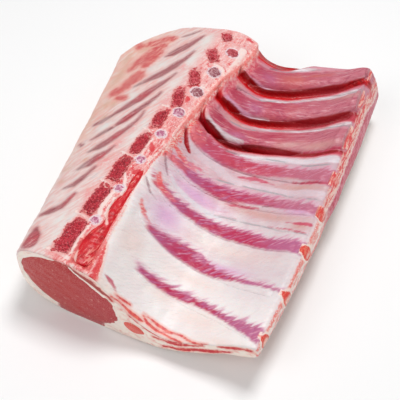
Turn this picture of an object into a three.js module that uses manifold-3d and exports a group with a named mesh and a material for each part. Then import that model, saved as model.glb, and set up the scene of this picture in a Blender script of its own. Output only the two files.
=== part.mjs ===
// Raw rack of lamb: half of a split loin-and-rib section, lying on its fat side with the rib side up.
// Millimetres, +Z up. X runs out along the ribs from the split spine, Y runs along the spine from
// the loin end (near) to the shoulder end (far), and the rack rests on Z = 0.
import * as THREE from "three";
import { mergeVertices } from "three/addons/utils/BufferGeometryUtils.js";
import Module from "manifold-3d";

const wasm = await Module();
wasm.setup();

// ---------------------------------------------------------------- driving dimensions

const NEAR_Y = -89.5; // loin-end cut
const NEAR_SKEW = 5.5; // how far that cut runs back towards the rib tips
const NEAR_SKEW_OVER = [20, 66]; // between which X it does so
const FAR_Y = 126; // shoulder-end cut
const FAR_SKEW = 8; // how far that cut runs out towards the rib tips
const FAR_SKEW_OVER = [-20, 62];
const FAR_ROUNDING_FROM = -66; // X where the shoulder end starts to round off at the feather bones
const FAR_ROUNDING_REACH = 40;
const FAR_ROUNDING = 36; // how far it falls back over that reach
const FAR_DIP = 4; // a dip in the shoulder end beside the spine
const FAR_DIP_X = -4;
const FAR_DIP_WIDTH = 14;
const GAP = 0.3; // between each bone or muscle and the meat round it
const PLUG_LIFT = 2; // sawn bones are cut off at most this high above the split face

// Cross-sections [x, z] at the loin end, half way and at the shoulder end, with the same 19 points:
// the feather-bone edge, the split face up to the spine, the rib side, the sawn edge, the fat side.
const SECTIONS = [
  [[-65, 29], [-88, 24], [-105, 24]],
  [[-61, 41.5], [-83, 31], [-100, 30]],
  [[-50, 46], [-66, 40], [-80, 36.5]],
  [[-36, 47], [-48, 45.5], [-53, 44.5]],
  [[-25, 46], [-35, 47], [-31, 48]],
  [[-15, 43], [-26, 45], [-14, 44]],
  [[-9, 36], [-20, 39.5], [-7, 38.5]],
  [[0, 26], [-10, 31], [2, 35]],
  [[10, 18], [5, 24], [16, 33.5]],
  [[24, 14.5], [23, 20.5], [31, 34.5]],
  [[45, 20], [45, 23.5], [46, 36.5]],
  [[67, 28.5], [67, 32], [61, 40]],
  [[68.5, 20], [72.5, 17], [69, 17]],
  [[46, 11], [50, 6.5], [49, 4.5]],
  [[20, 2.5], [22, 0.7], [20, 0.5]],
  [[-5, 0], [-10, 0], [-15, 0]],
  [[-35, 0], [-45, 0], [-55, 0]],
  [[-52, 4], [-70, 3], [-82, 4]],
  [[-62, 14], [-84, 10], [-101, 12]],
];
const TOP_START = 0.6; // the upper side rises from its outer edge here, counted in points
const TOP_END = 11; // and ends at this point
const STRAIGHT_FROM = 57; // X past which ribs run on straight to the sawn edge
const BODY_ROWS = 16;
const TOP_COLUMNS = 3; // columns of faces from point to point on the upper side
const UNDER_COLUMNS = 2;
const HALVINGS = 24;
const FRAME_STEP = 1.5; // half the length over which the slope of the upper side is taken

// The loin muscle (eye) and the small muscle beside it, as outlines at the loin end.
const EYE = [
  [-62, 35], [-50, 43.5], [-35, 45], [-23, 43], [-12, 33],
  [-6, 20], [-8, 8], [-20, 1.8], [-38, 2], [-52, 9], [-60, 20],
];
const EYE_FAR_SHIFT = [-20, 0]; // how far it lies over at the shoulder end
const EYE_DROP = 0.82; // it is this much lower under the spine bones than at the cut
const SIDE_MUSCLE = [[-3, 11], [1, 15.5], [8, 13], [9.5, 8], [3, 6.5]];
const SIDE_FAR_SHIFT = [6, 0];
const SIDE_DROP = 0.7; // it dips under the ribs
const DROP_OVER = 0.05; // share of the length over which a muscle sinks to its lower run
const MUSCLE_STEPS = [0, 0.025, 0.06, 0.3, 0.6, 0.94, 1];
const TUNNEL_PAST = 0.03; // how far its tunnel runs past either cut

// Ribs from the loin end to the shoulder end. base: Y of the straight part at X = 0, slope: rise of
// Y per mm of X, bend: fall away with the square of X, hook: how far the rib curls up beside the
// spine, left: where it leaves the spine, width: across it, spread: how much wider it gets per mm
// towards its tip, proud: how high it stands.
const RIBS = [
  { base: -64, slope: 0.1, bend: -0.0045, hook: 0, left: -7, width: 9, spread: 0, proud: 0.5 },
  { base: -39.5, slope: -0.05, bend: -0.0014, hook: 5, left: -19, width: 10, spread: 0, proud: 0.7 },
  { base: -15.7, slope: 0.03, bend: -0.0009, hook: 4, left: -20, width: 10, spread: 0, proud: 0.9 },
  { base: 6.8, slope: 0.2, bend: -0.0022, hook: 9, left: -20, width: 11, spread: 0, proud: 1.2 },
  { base: 30.3, slope: 0.26, bend: -0.0026, hook: 15, left: -20, width: 12.5, spread: 0, proud: 1.8 },
  { base: 51.6, slope: 0.4, bend: -0.0016, hook: 19, left: -18, width: 18, spread: 0.08, proud: 3 },
  { base: 76.5, slope: 0.46, bend: -0.0005, hook: 19, left: -15, width: 18.5, spread: 0.05, proud: 3.4 },
  { base: 103.5, slope: 0.48, bend: 0, hook: 14, left: -11, width: 17.5, spread: 0, proud: 3.2 },
];
const HOOK_START = -20;
const HOOK_LENGTH = 6.5; // the curl dies away over this length
const RIB_RIGHT = 76; // runs past the sawn edge, where it is cut off flush
const RIB_THICKNESS = 7.5;
const RIB_ROUNDING = 9; // length of its round end beside the spine
const RIB_BLUNT = 0.6; // how far into that rounding the rib starts
const RIB_TILT = -0.12; // the loin-side edge of a rib stands higher
const RIB_STEPS = 12;
const RIB_CROWDING = 1.35; // steps are closer beside the spine, by this power
const RIB_SIDES = 8;
const NUDGE = 0.01; // share of a strip's length over which its direction is taken
const SECTION_POWER = 0.8; // of the superellipse that a strip has as its section

// Hollows between the ribs on the shoulder half: which rib, on which side of it, and from and to
// which X the hollow runs.
const HOLLOW_STEPS = 10;
const HOLLOW_UNDERCUT = 2.5; // how far a hollow starts under the edge of its rib
const HOLLOW_FLOOR = 2; // width of its flat floor, past that edge
const HOLLOW_ABOVE = 6;
const HOLLOW_RIM = 0.6;
const HOLLOW_LEAST = 0.08; // of its full depth, at a tapered end
const HOLLOWS = [
  { rib: 7, side: -1, from: -12, to: 76, depth: 4.5, reach: 10 },
  { rib: 6, side: -1, from: -16, to: 76, depth: 4.5, reach: 9 },
  { rib: 5, side: -1, from: -19, to: 76, depth: 4.5, reach: 9 },
  { rib: 4, side: -1, from: -21, to: -6, depth: 3, reach: 4 },
  { rib: 7, side: 1, from: -9, to: 32, depth: 3.5, reach: 9 },
];

// Split bodies of the spine bones on the split face: middle [x, y], size across and along the spine,
// and turn, in degrees, of the length towards the feather bones.
const VERTEBRAE = [
  { at: [-39, -72.7], size: [10, 23], turn: 0 },
  { at: [-39.7, -45.5], size: [8.8, 21.5], turn: 0 },
  { at: [-39.8, -20], size: [8, 18], turn: 0 },
  { at: [-39, 2.4], size: [7.4, 17.4], turn: 0 },
  { at: [-38.7, 26.3], size: [6.8, 15], turn: 6 },
  { at: [-37, 48], size: [7, 17], turn: 17 },
  { at: [-36.2, 69.7], size: [6.4, 16], turn: 23 },
  { at: [-35, 95], size: [6.4, 12.5], turn: 34 },
  { at: [-34.7, 117.4], size: [5.6, 8.6], turn: 28 },
];
const VERTEBRA_DEPTH = 5;

// Sawn joints between them, where the ribs meet the spine.
const JOINTS = [
  { at: [-33, -58.5], diameter: 5.4 },
  { at: [-33, -33], diameter: 5.4 },
  { at: [-33, -9], diameter: 5.8 },
  { at: [-31.9, 14.6], diameter: 6.2 },
  { at: [-31, 36.2], diameter: 7 },
  { at: [-29, 57.8], diameter: 8 },
  { at: [-27.5, 80.3], diameter: 8.6 },
  { at: [-25, 103.7], diameter: 8 },
];
const JOINT_STRETCH = 1.1; // a joint is this much longer along the spine
const JOINT_DEPTH = 4.5;
const CORNER = 0.36; // corner radius of a sawn bone, as a share of its narrow side
const PLUG_ABOVE = 0.5; // how high it stands before it is cut level with the face
const POCKET_ABOVE = 8;

// Feather bones: thin blades in the split face, from the back edge up to the spine.
const FEATHER_BONES = [
  { outer: [-66, -65], inner: [-52, -43] },
  { outer: [-66, -46], inner: [-53, -24] },
  { outer: [-68, -32], inner: [-53, -7] },
  { outer: [-73, -16], inner: [-51, 26] },
  { outer: [-80, -5], inner: [-67.5, 11] },
  { outer: [-66, 10], inner: [-48, 53] },
  { outer: [-83, 14], inner: [-52, 70] },
  { outer: [-73, 53], inner: [-50, 97] },
  { outer: [-69, 85], inner: [-49, 122] },
];
const FEATHER_WIDTH = 3.6;
const FEATHER_DEPTH = 4;
const FEATHER_PROUD = 0.4;
const FEATHER_TIP = 0.25; // width of its tips, as a share
const FEATHER_STEPS = 6;
const FEATHER_SIDES = 6;

// The dark red strip of muscle along the inner side of the spine: places [x, y] and widths.
const CHINE_STRIP = [
  [-25.5, -86], [-27, -75], [-27.2, -66], [-26.4, -58], [-27.6, -50],
  [-28, -42], [-27.4, -34], [-28, -24], [-28, -16],
];
const CHINE_STRIP_WIDTHS = [9, 9.4, 8.4, 5, 6, 5.6, 3.4, 4.4, 2.4];
const CHINE_STRIP_DEPTH = 4;
const CHINE_STRIP_PROUD = 0.5;
const CHINE_STRIP_STEPS = 12;

const LOOKS = {
  fat: { color: 0xeed3c8, roughness: 0.5 },
  eye: { color: 0xa9494b, roughness: 0.45 },
  rib: { color: 0xc4607a, roughness: 0.4 },
  marrow: { color: 0x9a2a35, roughness: 0.6 },
  gristle: { color: 0xc9a3b0, roughness: 0.45 },
  feather: { color: 0xb58a88, roughness: 0.5 },
  muscle: { color: 0xd0262f, roughness: 0.4 },
};

// ---------------------------------------------------------------- the outer form

// Weights of the loin-end, middle and shoulder-end sections at w = 0, 0.5 and 1 (a parabola).
function sectionWeights(w) {
  return [2 * (w - 0.5) * (w - 1), -4 * w * (w - 1), 2 * w * (w - 0.5)];
}

function blend(weights, values) {
  return weights.reduce((sum, weight, i) => sum + weight * values[i], 0);
}

// The closed cross-section at w, with its upper points lifted by lift.
function sectionCurve(w, lift = 0) {
  const weights = sectionWeights(w);
  const points = SECTIONS.map((three, i) => {
    const x = blend(weights, three.map((p) => p[0]));
    const z = blend(weights, three.map((p) => p[1]));
    return new THREE.Vector3(x, 0, i <= TOP_END ? z + lift : z);
  });
  return new THREE.CatmullRomCurve3(points, true, "catmullrom", 0.5);
}

function nearCut(x) {
  return NEAR_Y + NEAR_SKEW * THREE.MathUtils.smoothstep(x, ...NEAR_SKEW_OVER);
}

function farCut(x) {
  const outer = THREE.MathUtils.clamp((FAR_ROUNDING_FROM - x) / FAR_ROUNDING_REACH, 0, 2);
  const dip = FAR_DIP * Math.exp(-(((x - FAR_DIP_X) / FAR_DIP_WIDTH) ** 2));
  const skew = FAR_SKEW * THREE.MathUtils.smoothstep(x, ...FAR_SKEW_OVER);
  return FAR_Y + skew - FAR_ROUNDING * outer ** 2 - dip;
}

// A point of the outer form from its cross-section point and w.
function placed(point, w) {
  const y = nearCut(point.x) + (farCut(point.x) - nearCut(point.x)) * w;
  return new THREE.Vector3(point.x, y, Math.max(point.z, 0));
}

// Height of the upper side at [x, y], found by halving along its cross-section.
function topHeight(x, y) {
  const w = (y - nearCut(x)) / (farCut(x) - nearCut(x));
  const curve = sectionCurve(w);
  let low = TOP_START / SECTIONS.length;
  let high = TOP_END / SECTIONS.length;
  for (let i = 0; i < HALVINGS; i++) {
    const middle = (low + high) / 2;
    if (curve.getPoint(middle).x < x) low = middle;
    else high = middle;
  }
  return curve.getPoint(low).z;
}

// The point of the upper side at [x, y]. Past STRAIGHT_FROM the rib side is carried on straight.
function topPoint(x, y) {
  const inner = Math.min(x, STRAIGHT_FROM);
  const z = topHeight(inner, y);
  const rise = (z - topHeight(inner - 2 * FRAME_STEP, y)) / (2 * FRAME_STEP);
  return new THREE.Vector3(x, y, z + rise * (x - inner));
}

// A frame on the upper side: its point, outward normal, and the direction along, laid in the face.
function topFrame(x, y, direction) {
  const step = FRAME_STEP;
  const point = topPoint(x, y);
  const alongX = topPoint(x + step, y).sub(topPoint(x - step, y));
  const alongY = topPoint(x, y + step).sub(topPoint(x, y - step));
  const up = new THREE.Vector3().crossVectors(alongX, alongY).normalize();
  const along = direction.clone().addScaledVector(up, -direction.dot(up)).normalize();
  return { point, up, along, side: new THREE.Vector3().crossVectors(up, along) };
}

// ---------------------------------------------------------------- surfaces and solids

// A closed tube through rings of equally many points, with a fan of triangles over each end. With
// onCut the ends get one ring more, half way in, and it moves their points onto the cut.
function tube(rings, onCut = null) {
  const size = rings[0].length;
  const centreOf = (ring) => ring.reduce((sum, p) => sum.add(p), new THREE.Vector3()).divideScalar(size);
  const all = [...rings];
  if (onCut)
    for (const far of [false, true]) {
      const ring = far ? rings.at(-1) : rings[0];
      const inner = ring.map((p) => onCut(p.clone().lerp(centreOf(ring), 0.5), far));
      if (far) all.push(inner);
      else all.unshift(inner);
    }
  const points = all.flat();
  const index = [];
  for (let i = 0; i + 1 < all.length; i++)
    for (let j = 0; j < size; j++) {
      const a = i * size + j;
      const b = i * size + ((j + 1) % size);
      index.push(a, b, a + size, b, b + size, a + size);
    }
  for (const [ring, first] of [[all[0], 0], [all.at(-1), (all.length - 1) * size]]) {
    const centre = centreOf(ring);
    const hub = points.push(onCut ? onCut(centre, first > 0) : centre) - 1;
    for (let j = 0; j < size; j++) {
      const a = first + j;
      const b = first + ((j + 1) % size);
      if (first === 0) index.push(b, a, hub);
      else index.push(a, b, hub);
    }
  }
  return geometryFrom(points, index);
}

function geometryFrom(points, index) {
  const geometry = new THREE.BufferGeometry().setFromPoints(points);
  geometry.setIndex(index);
  return geometry;
}

function solidOf(geometry) {
  const bare = geometry.clone();
  bare.deleteAttribute("normal");
  bare.deleteAttribute("uv");
  const merged = mergeVertices(bare, 1e-4);
  const vertProperties = new Float32Array(merged.attributes.position.array);
  const triVerts = new Uint32Array(merged.index.array);
  const made = new wasm.Manifold(new wasm.Mesh({ numProp: 3, vertProperties, triVerts }));
  if (made.volume() > 0) return made;
  triVerts.reverse();
  return new wasm.Manifold(new wasm.Mesh({ numProp: 3, vertProperties, triVerts }));
}

function geometryOf(solid) {
  const mesh = solid.getMesh();
  const geometry = new THREE.BufferGeometry();
  geometry.setAttribute("position", new THREE.BufferAttribute(mesh.vertProperties, mesh.numProp));
  geometry.setIndex(new THREE.BufferAttribute(mesh.triVerts, 1));
  geometry.computeVertexNormals();
  return geometry;
}

// The whole outer form as one closed tube along Y.
function outerForm(lift = 0) {
  const stations = SECTIONS.flatMap((_, i) => {
    const parts = i < TOP_END ? TOP_COLUMNS : UNDER_COLUMNS;
    return Array.from({ length: parts }, (_, k) => (i + k / parts) / SECTIONS.length);
  });
  const columns = stations.length;
  const rings = [];
  for (let i = 0; i <= BODY_ROWS; i++) {
    const w = i / BODY_ROWS;
    const curve = sectionCurve(w, lift);
    rings.push(stations.map((s) => placed(curve.getPoint(s), w)));
  }
  const points = rings.flat();
  const index = [];
  for (let i = 0; i < BODY_ROWS; i++)
    for (let j = 0; j < columns; j++) {
      const a = i * columns + j;
      const b = i * columns + ((j + 1) % columns);
      index.push(a, b, a + columns, b, b + columns, a + columns);
    }
  for (const [ring, first] of [[rings[0], 0], [rings.at(-1), BODY_ROWS * columns]]) {
    const outline = ring.map((p) => new THREE.Vector2(p.x, p.z));
    const faces = THREE.ShapeUtils.triangulateShape(outline, []);
    for (const [a, b, c] of faces) {
      if (first === 0) index.push(a, b, c);
      else index.push(first + c, first + b, first + a);
    }
  }
  return solidOf(geometryFrom(points, index));
}

// A muscle that runs from cut to cut: its outline, moved by shift and lowered by drop inside. Grown
// by grow it is the muscle's tunnel, which runs past both cuts.
function muscleThrough({ outline, shift, drop }, grow = 0) {
  const steps = grow > 0 ? [-TUNNEL_PAST, ...MUSCLE_STEPS, 1 + TUNNEL_PAST] : MUSCLE_STEPS;
  const sides = outline.length * 2;
  const rings = steps.map((w) => {
    const lowered = THREE.MathUtils.lerp(1, drop, THREE.MathUtils.smoothstep(w, 0, DROP_OVER));
    const points = outline.map(
      ([x, z]) => new THREE.Vector3(x + shift[0] * w, 0, z * lowered + shift[1] * w),
    );
    const centre = points.reduce((sum, p) => sum.add(p), new THREE.Vector3());
    centre.divideScalar(points.length);
    const curve = new THREE.CatmullRomCurve3(points, true, "catmullrom", 0.5);
    const ring = [];
    for (let j = 0; j < sides; j++) {
      const p = curve.getPoint(j / sides);
      const away = p.clone().sub(centre);
      ring.push(placed(p.addScaledVector(away.normalize(), grow), w));
    }
    return ring;
  });
  const onCut = (hub, far) => hub.setY(far ? farCut(hub.x) : nearCut(hub.x));
  return solidOf(tube(rings, grow > 0 ? null : onCut));
}

// A strip sunk in the upper side. route(t) gives its [x, y] at t from 0 to 1, and half(t) its half
// width; its section is a superellipse whose top stands proud of the face.
function sunkStrip({ route, half, thickness, proud, tilt = 0, steps, sides, grow = 0 }) {
  const rings = [];
  for (let i = 0; i <= steps; i++) {
    const t = i / steps;
    const [x, y] = route(t);
    const [x1, y1] = route(Math.min(t + NUDGE, 1));
    const [x0, y0] = route(Math.max(t - NUDGE, 0));
    const direction = new THREE.Vector3(x1 - x0, y1 - y0, 0).normalize();
    const frame = topFrame(x, y, direction);
    const size = half(t);
    const width = size + grow;
    const height = (thickness / 2) * Math.min(1, size / half(0.5)) + grow;
    const ring = [];
    for (let j = 0; j < sides; j++) {
      const angle = (2 * Math.PI * (j + 0.5)) / sides;
      const c = Math.cos(angle);
      const s = Math.sin(angle);
      const across = width * Math.sign(c) * Math.abs(c) ** SECTION_POWER;
      const bulge = height * Math.sign(s) * Math.abs(s) ** SECTION_POWER;
      const p = frame.point.clone().addScaledVector(frame.side, across);
      ring.push(p.addScaledVector(frame.up, bulge + proud - thickness / 2 + across * tilt));
    }
    rings.push(ring);
  }
  return solidOf(tube(rings));
}

// ---------------------------------------------------------------- the pieces

function ribY(rib, x) {
  return (
    rib.base +
    rib.slope * x +
    rib.bend * x * x +
    rib.hook * Math.exp(-(x - HOOK_START) / HOOK_LENGTH)
  );
}

function ribHalfWidth(rib, x) {
  return (rib.width + rib.spread * Math.max(x, 0)) / 2;
}

// The whole rib, past the sawn edge and the shoulder cut.
function ribStrip(rib, grow) {
  const length = RIB_RIGHT - rib.left;
  const xAt = (t) => rib.left - grow + (length + grow) * t ** RIB_CROWDING;
  return sunkStrip({
    route: (t) => [xAt(t), ribY(rib, xAt(t))],
    half: (t) => {
      const run = Math.min(1, (length * t ** RIB_CROWDING + RIB_BLUNT) / RIB_ROUNDING);
      return ribHalfWidth(rib, xAt(t)) * Math.sqrt(1 - (1 - run) ** 2);
    },
    thickness: RIB_THICKNESS,
    proud: rib.proud,
    tilt: RIB_TILT,
    steps: RIB_STEPS,
    sides: RIB_SIDES,
    grow,
  });
}

// The hollow beside a rib: a wedge, deepest against the rib, that runs out over reach. It tapers at
// both ends, or at the spine end alone where it runs out through the sawn edge.
function hollow({ rib: number, side, from, to, depth, reach }) {
  const rib = RIBS[number];
  const rings = [];
  for (let i = 0; i <= HOLLOW_STEPS; i++) {
    const t = i / HOLLOW_STEPS;
    const x = from + (to - from) * t;
    const slope = ribY(rib, x + 0.5) - ribY(rib, x - 0.5);
    const frame = topFrame(x, ribY(rib, x), new THREE.Vector3(1, slope, 0).normalize());
    const taper = to < RIB_RIGHT ? Math.sqrt(Math.sin(Math.PI * t)) : Math.min(1, HOLLOW_STEPS * t / 2);
    const size = Math.max(taper, HOLLOW_LEAST);
    const edge = ribHalfWidth(rib, x);
    const profile = [
      [edge - HOLLOW_UNDERCUT, HOLLOW_ABOVE],
      [edge - HOLLOW_UNDERCUT, -depth * size],
      [edge + HOLLOW_FLOOR * size, -depth * size],
      [edge + reach * size, HOLLOW_RIM],
      [edge + reach * size, HOLLOW_ABOVE],
    ];
    const ring = profile.map(([across, rise]) =>
      frame.point.clone().addScaledVector(frame.side, side * across).addScaledVector(frame.up, rise),
    );
    rings.push(side > 0 ? ring : ring.reverse());
  }
  return solidOf(tube(rings));
}

function roundedRectangle(width, length, radius) {
  const shape = new THREE.Shape();
  const x = width / 2 - radius;
  const y = length / 2 - radius;
  shape.absarc(x, y, radius, 0, Math.PI / 2);
  shape.absarc(-x, y, radius, Math.PI / 2, Math.PI);
  shape.absarc(-x, -y, radius, Math.PI, 1.5 * Math.PI);
  shape.absarc(x, -y, radius, 1.5 * Math.PI, 2 * Math.PI);
  return shape;
}

// A plug set in the split face at [x, y], its top level with the face; its length lies along the
// spine, turned by turn degrees.
function plug({ at: [x, y], size: [width, length], turn = 0, depth }, grow) {
  const radius = Math.min(width, length) * CORNER + grow;
  const shape = roundedRectangle(width + 2 * grow, length + 2 * grow, radius);
  const above = grow > 0 ? POCKET_ABOVE : PLUG_ABOVE;
  const options = { depth: depth + grow + above, bevelEnabled: false, curveSegments: 1 };
  const geometry = new THREE.ExtrudeGeometry(shape, options);
  const angle = THREE.MathUtils.degToRad(turn);
  const direction = new THREE.Vector3(-Math.sin(angle), Math.cos(angle), 0);
  const { point, up, along, side } = topFrame(x, y, direction);
  geometry.translate(0, 0, -depth - grow);
  geometry.applyMatrix4(new THREE.Matrix4().makeBasis(side.negate(), along, up).setPosition(point));
  return solidOf(geometry);
}

function featherBone({ outer, inner }, grow) {
  const over = grow / Math.hypot(inner[0] - outer[0], inner[1] - outer[1]);
  const from = new THREE.Vector2(...outer);
  const to = new THREE.Vector2(...inner);
  return sunkStrip({
    route: (t) => from.clone().lerp(to, THREE.MathUtils.lerp(-over, 1 + over, t)).toArray(),
    half: (t) => (FEATHER_WIDTH / 2) * THREE.MathUtils.lerp(FEATHER_TIP, 1, Math.sqrt(Math.sin(Math.PI * t))),
    thickness: FEATHER_DEPTH,
    proud: FEATHER_PROUD,
    steps: FEATHER_STEPS,
    sides: FEATHER_SIDES,
    grow,
  });
}

function chineStrip(grow) {
  const path = new THREE.CatmullRomCurve3(CHINE_STRIP.map(([x, y]) => new THREE.Vector3(x, y, 0)));
  const widths = new THREE.SplineCurve(CHINE_STRIP_WIDTHS.map((w, i) => new THREE.Vector2(i, w)));
  return sunkStrip({
    route: (t) => {
      const p = path.getPoint(t);
      return [p.x, p.y + grow * (2 * t - 1)];
    },
    half: (t) => widths.getPoint(t).y / 2,
    thickness: CHINE_STRIP_DEPTH,
    proud: CHINE_STRIP_PROUD,
    steps: CHINE_STRIP_STEPS,
    sides: RIB_SIDES,
    grow,
  });
}

// ---------------------------------------------------------------- the rack

const rack = new THREE.Group();

function add(name, solid, look) {
  const mesh = new THREE.Mesh(
    geometryOf(solid),
    new THREE.MeshStandardMaterial({ ...look, metalness: 0 }),
  );
  mesh.name = name;
  rack.add(mesh);
}

const inset = [
  ...VERTEBRAE.map((bone, i) => ({
    name: `vertebra_${i + 1}`,
    look: LOOKS.marrow,
    make: (grow) => plug({ ...bone, depth: VERTEBRA_DEPTH }, grow),
  })),
  ...JOINTS.map(({ at, diameter }, i) => ({
    name: `rib_joint_${i + 1}`,
    look: LOOKS.gristle,
    make: (grow) =>
      plug({ at, size: [diameter, diameter * JOINT_STRETCH], depth: JOINT_DEPTH }, grow),
  })),
  ...FEATHER_BONES.map((bone, i) => ({
    name: `feather_bone_${i + 1}`,
    look: LOOKS.feather,
    make: (grow) => featherBone(bone, grow),
  })),
  ...RIBS.map((rib, i) => ({
    name: `rib_${i + 1}`,
    look: LOOKS.rib,
    lift: rib.proud + GAP,
    make: (grow) => ribStrip(rib, grow),
  })),
  { name: "chine_muscle", look: LOOKS.muscle, make: chineStrip },
];

const muscles = [
  { name: "loin_eye", look: LOOKS.eye, outline: EYE, shift: EYE_FAR_SHIFT, drop: EYE_DROP },
  {
    name: "side_muscle",
    look: LOOKS.muscle,
    outline: SIDE_MUSCLE,
    shift: SIDE_FAR_SHIFT,
    drop: SIDE_DROP,
  },
];

let meat = outerForm();
for (const { name, look, make, lift = PLUG_LIFT } of inset) {
  add(name, make(0).intersect(outerForm(lift)), look);
  meat = meat.subtract(make(GAP));
}
for (const opening of HOLLOWS) meat = meat.subtract(hollow(opening));
for (const muscle of muscles) {
  add(muscle.name, muscleThrough(muscle), muscle.look);
  meat = meat.subtract(muscleThrough(muscle, GAP));
}
add("meat_body", meat, LOOKS.fat);

const box = new THREE.Box3().setFromObject(rack);
rack.position.set(-(box.min.x + box.max.x) / 2, -(box.min.y + box.max.y) / 2, -box.min.z);

export default rack;
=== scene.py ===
"""Raw rack of lamb: half of a split loin-and-rib section, lying on its fat side with the ribs up.

Sizes are millimetres until lay_mesh() turns them into metres. X runs out along the ribs from the
split spine, Y runs along the spine from the loin end to the shoulder end, Z is up, and the rack
rests on Z = 0. Each surface is a function of two parameters, worked out as whole arrays.
"""

import math

import bpy
import numpy as np
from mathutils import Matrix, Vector


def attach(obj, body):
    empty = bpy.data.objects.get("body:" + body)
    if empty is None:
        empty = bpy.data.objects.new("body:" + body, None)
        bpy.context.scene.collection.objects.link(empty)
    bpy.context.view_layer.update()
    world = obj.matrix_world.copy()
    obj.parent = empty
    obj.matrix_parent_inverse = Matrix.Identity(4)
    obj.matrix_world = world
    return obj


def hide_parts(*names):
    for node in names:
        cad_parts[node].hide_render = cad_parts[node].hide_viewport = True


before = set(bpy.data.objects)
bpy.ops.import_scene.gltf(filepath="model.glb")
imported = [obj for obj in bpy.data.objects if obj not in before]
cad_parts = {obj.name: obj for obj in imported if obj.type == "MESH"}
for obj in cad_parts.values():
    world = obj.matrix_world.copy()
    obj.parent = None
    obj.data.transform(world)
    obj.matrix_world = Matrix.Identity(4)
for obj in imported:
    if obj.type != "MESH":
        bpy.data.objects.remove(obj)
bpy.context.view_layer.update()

# ------------------------------------------------------------------ sizes of the rack

MM = 0.001
PART_SHIFT = np.array([16.14, -22.25, 0.0])  # from the axes used here to the part's own origin
LENGTH = 215.0  # roughly, from cut to cut
EDGE_X = 66.0  # roughly, of the sawn edge

NEAR_Y = -89.5  # loin-end cut
NEAR_SKEW = 5.5
FAR_Y = 126.0  # shoulder-end cut
FAR_SKEW = 8.0
FAR_ROUNDING_FROM = -66.0
FAR_ROUNDING_REACH = 40.0
FAR_ROUNDING = 36.0
FAR_DIP = 4.0
FAR_DIP_X = -4.0
FAR_DIP_WIDTH = 14.0

# Cross-sections [x, z] at the loin end, half way and at the shoulder end: the feather-bone edge, the
# split face up to the spine, the rib side, the sawn edge, the fat side.
SECTIONS = np.array([
    [[-65, 29], [-88, 24], [-105, 24]],
    [[-61, 41.5], [-83, 31], [-100, 30]],
    [[-50, 46], [-66, 40], [-80, 36.5]],
    [[-36, 47], [-48, 45.5], [-53, 44.5]],
    [[-25, 46], [-35, 47], [-31, 48]],
    [[-15, 43], [-26, 45], [-14, 44]],
    [[-9, 36], [-20, 39.5], [-7, 38.5]],
    [[0, 26], [-10, 31], [2, 35]],
    [[10, 18], [5, 24], [16, 33.5]],
    [[24, 14.5], [23, 20.5], [31, 34.5]],
    [[45, 20], [45, 23.5], [46, 36.5]],
    [[67, 28.5], [67, 32], [61, 40]],
    [[68.5, 20], [72.5, 17], [69, 17]],
    [[46, 11], [50, 6.5], [49, 4.5]],
    [[20, 2.5], [22, 0.7], [20, 0.5]],
    [[-5, 0], [-10, 0], [-15, 0]],
    [[-35, 0], [-45, 0], [-55, 0]],
    [[-52, 4], [-70, 3], [-82, 4]],
    [[-62, 14], [-84, 10], [-101, 12]],
], float)
POINTS = len(SECTIONS)
TOP_START = 0.6
TOP_END = 11
SAWN_END = 12
STRAIGHT_FROM = 57.0  # X past which ribs run on straight to the sawn edge

# Muscles that run from cut to cut: outline [x, z] at the loin end, shift: how far it moves aside on the
# way to the shoulder end, and drop: what is left of its height past the loin end.
EYE = dict(shift=-20, drop=0.82, points=np.array([
    [-62.5, 33], [-50, 43.5], [-35.5, 45.3], [-24.5, 39.6], [-13, 31],
    [-5.6, 20], [-7, 8.5], [-19, 1.8], [-38, 2], [-52, 8.5], [-60.5, 19.5],
], float))
SIDE_MUSCLE = dict(shift=6, drop=0.7, points=np.array([
    [-3.4, 12], [1, 14.4], [7.5, 12.6], [9.8, 8.6], [3.4, 6.6],
], float))


def table(keys, *rows):
    """Rows of values as dictionaries with the same keys."""
    return [dict(zip(keys.split(), row)) for row in rows]


# Ribs from the loin end to the shoulder end, as in the part: middle line, width and height, and
# drop: how far the loin-side edge goes down beside its hollow.
RIBS = table(
    "base slope bend hook left width spread proud drop",
    (-64, 0.1, -0.0045, 0, -7, 9, 0, 0.5, 0.5),
    (-39.5, -0.05, -0.0014, 5, -19, 10, 0, 0.7, 0.6),
    (-15.7, 0.03, -0.0009, 4, -20, 10, 0, 0.9, 0.6),
    (6.8, 0.2, -0.0022, 9, -20, 11, 0, 1.2, 0.8),
    (30.3, 0.26, -0.0026, 15, -20, 12.5, 0, 1.8, 1.2),
    (51.6, 0.4, -0.0016, 19, -18, 18, 0.08, 3, 4.4),
    (76.5, 0.46, -0.0005, 19, -15, 18.5, 0.05, 3.4, 4.6),
    (103.5, 0.48, 0, 14, -11, 17.5, 0, 3.2, 4.6),
)
HOOK_START = -20.0
HOOK_LENGTH = 6.5
RIB_ROUNDING = 9.0
RIB_THICKNESS = 7.5
RIB_TIP_X = 64.0

# Split spine bones: middle, size across and along the spine, turn in degrees, and waist: how far the
# rib side of the block is pulled in.
VERTEBRAE = table(
    "at size turn waist",
    ((-39, -72.7), (10, 23), 0, 0.3),
    ((-39.7, -45.5), (8.8, 21.5), 0, 0.26),
    ((-39.8, -20), (8, 18), 0, 0.15),
    ((-39, 2.4), (7.4, 17.4), 0, 0.12),
    ((-38.7, 26.3), (6.8, 15), 6, 0.1),
    ((-37, 48), (7, 17), 17, 0.12),
    ((-36.2, 69.7), (6.4, 16), 23, 0.1),
    ((-35, 95), (6.4, 12.5), 34, 0.1),
    ((-34.7, 117.4), (5.6, 8.6), 28, 0.0),
)
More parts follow.
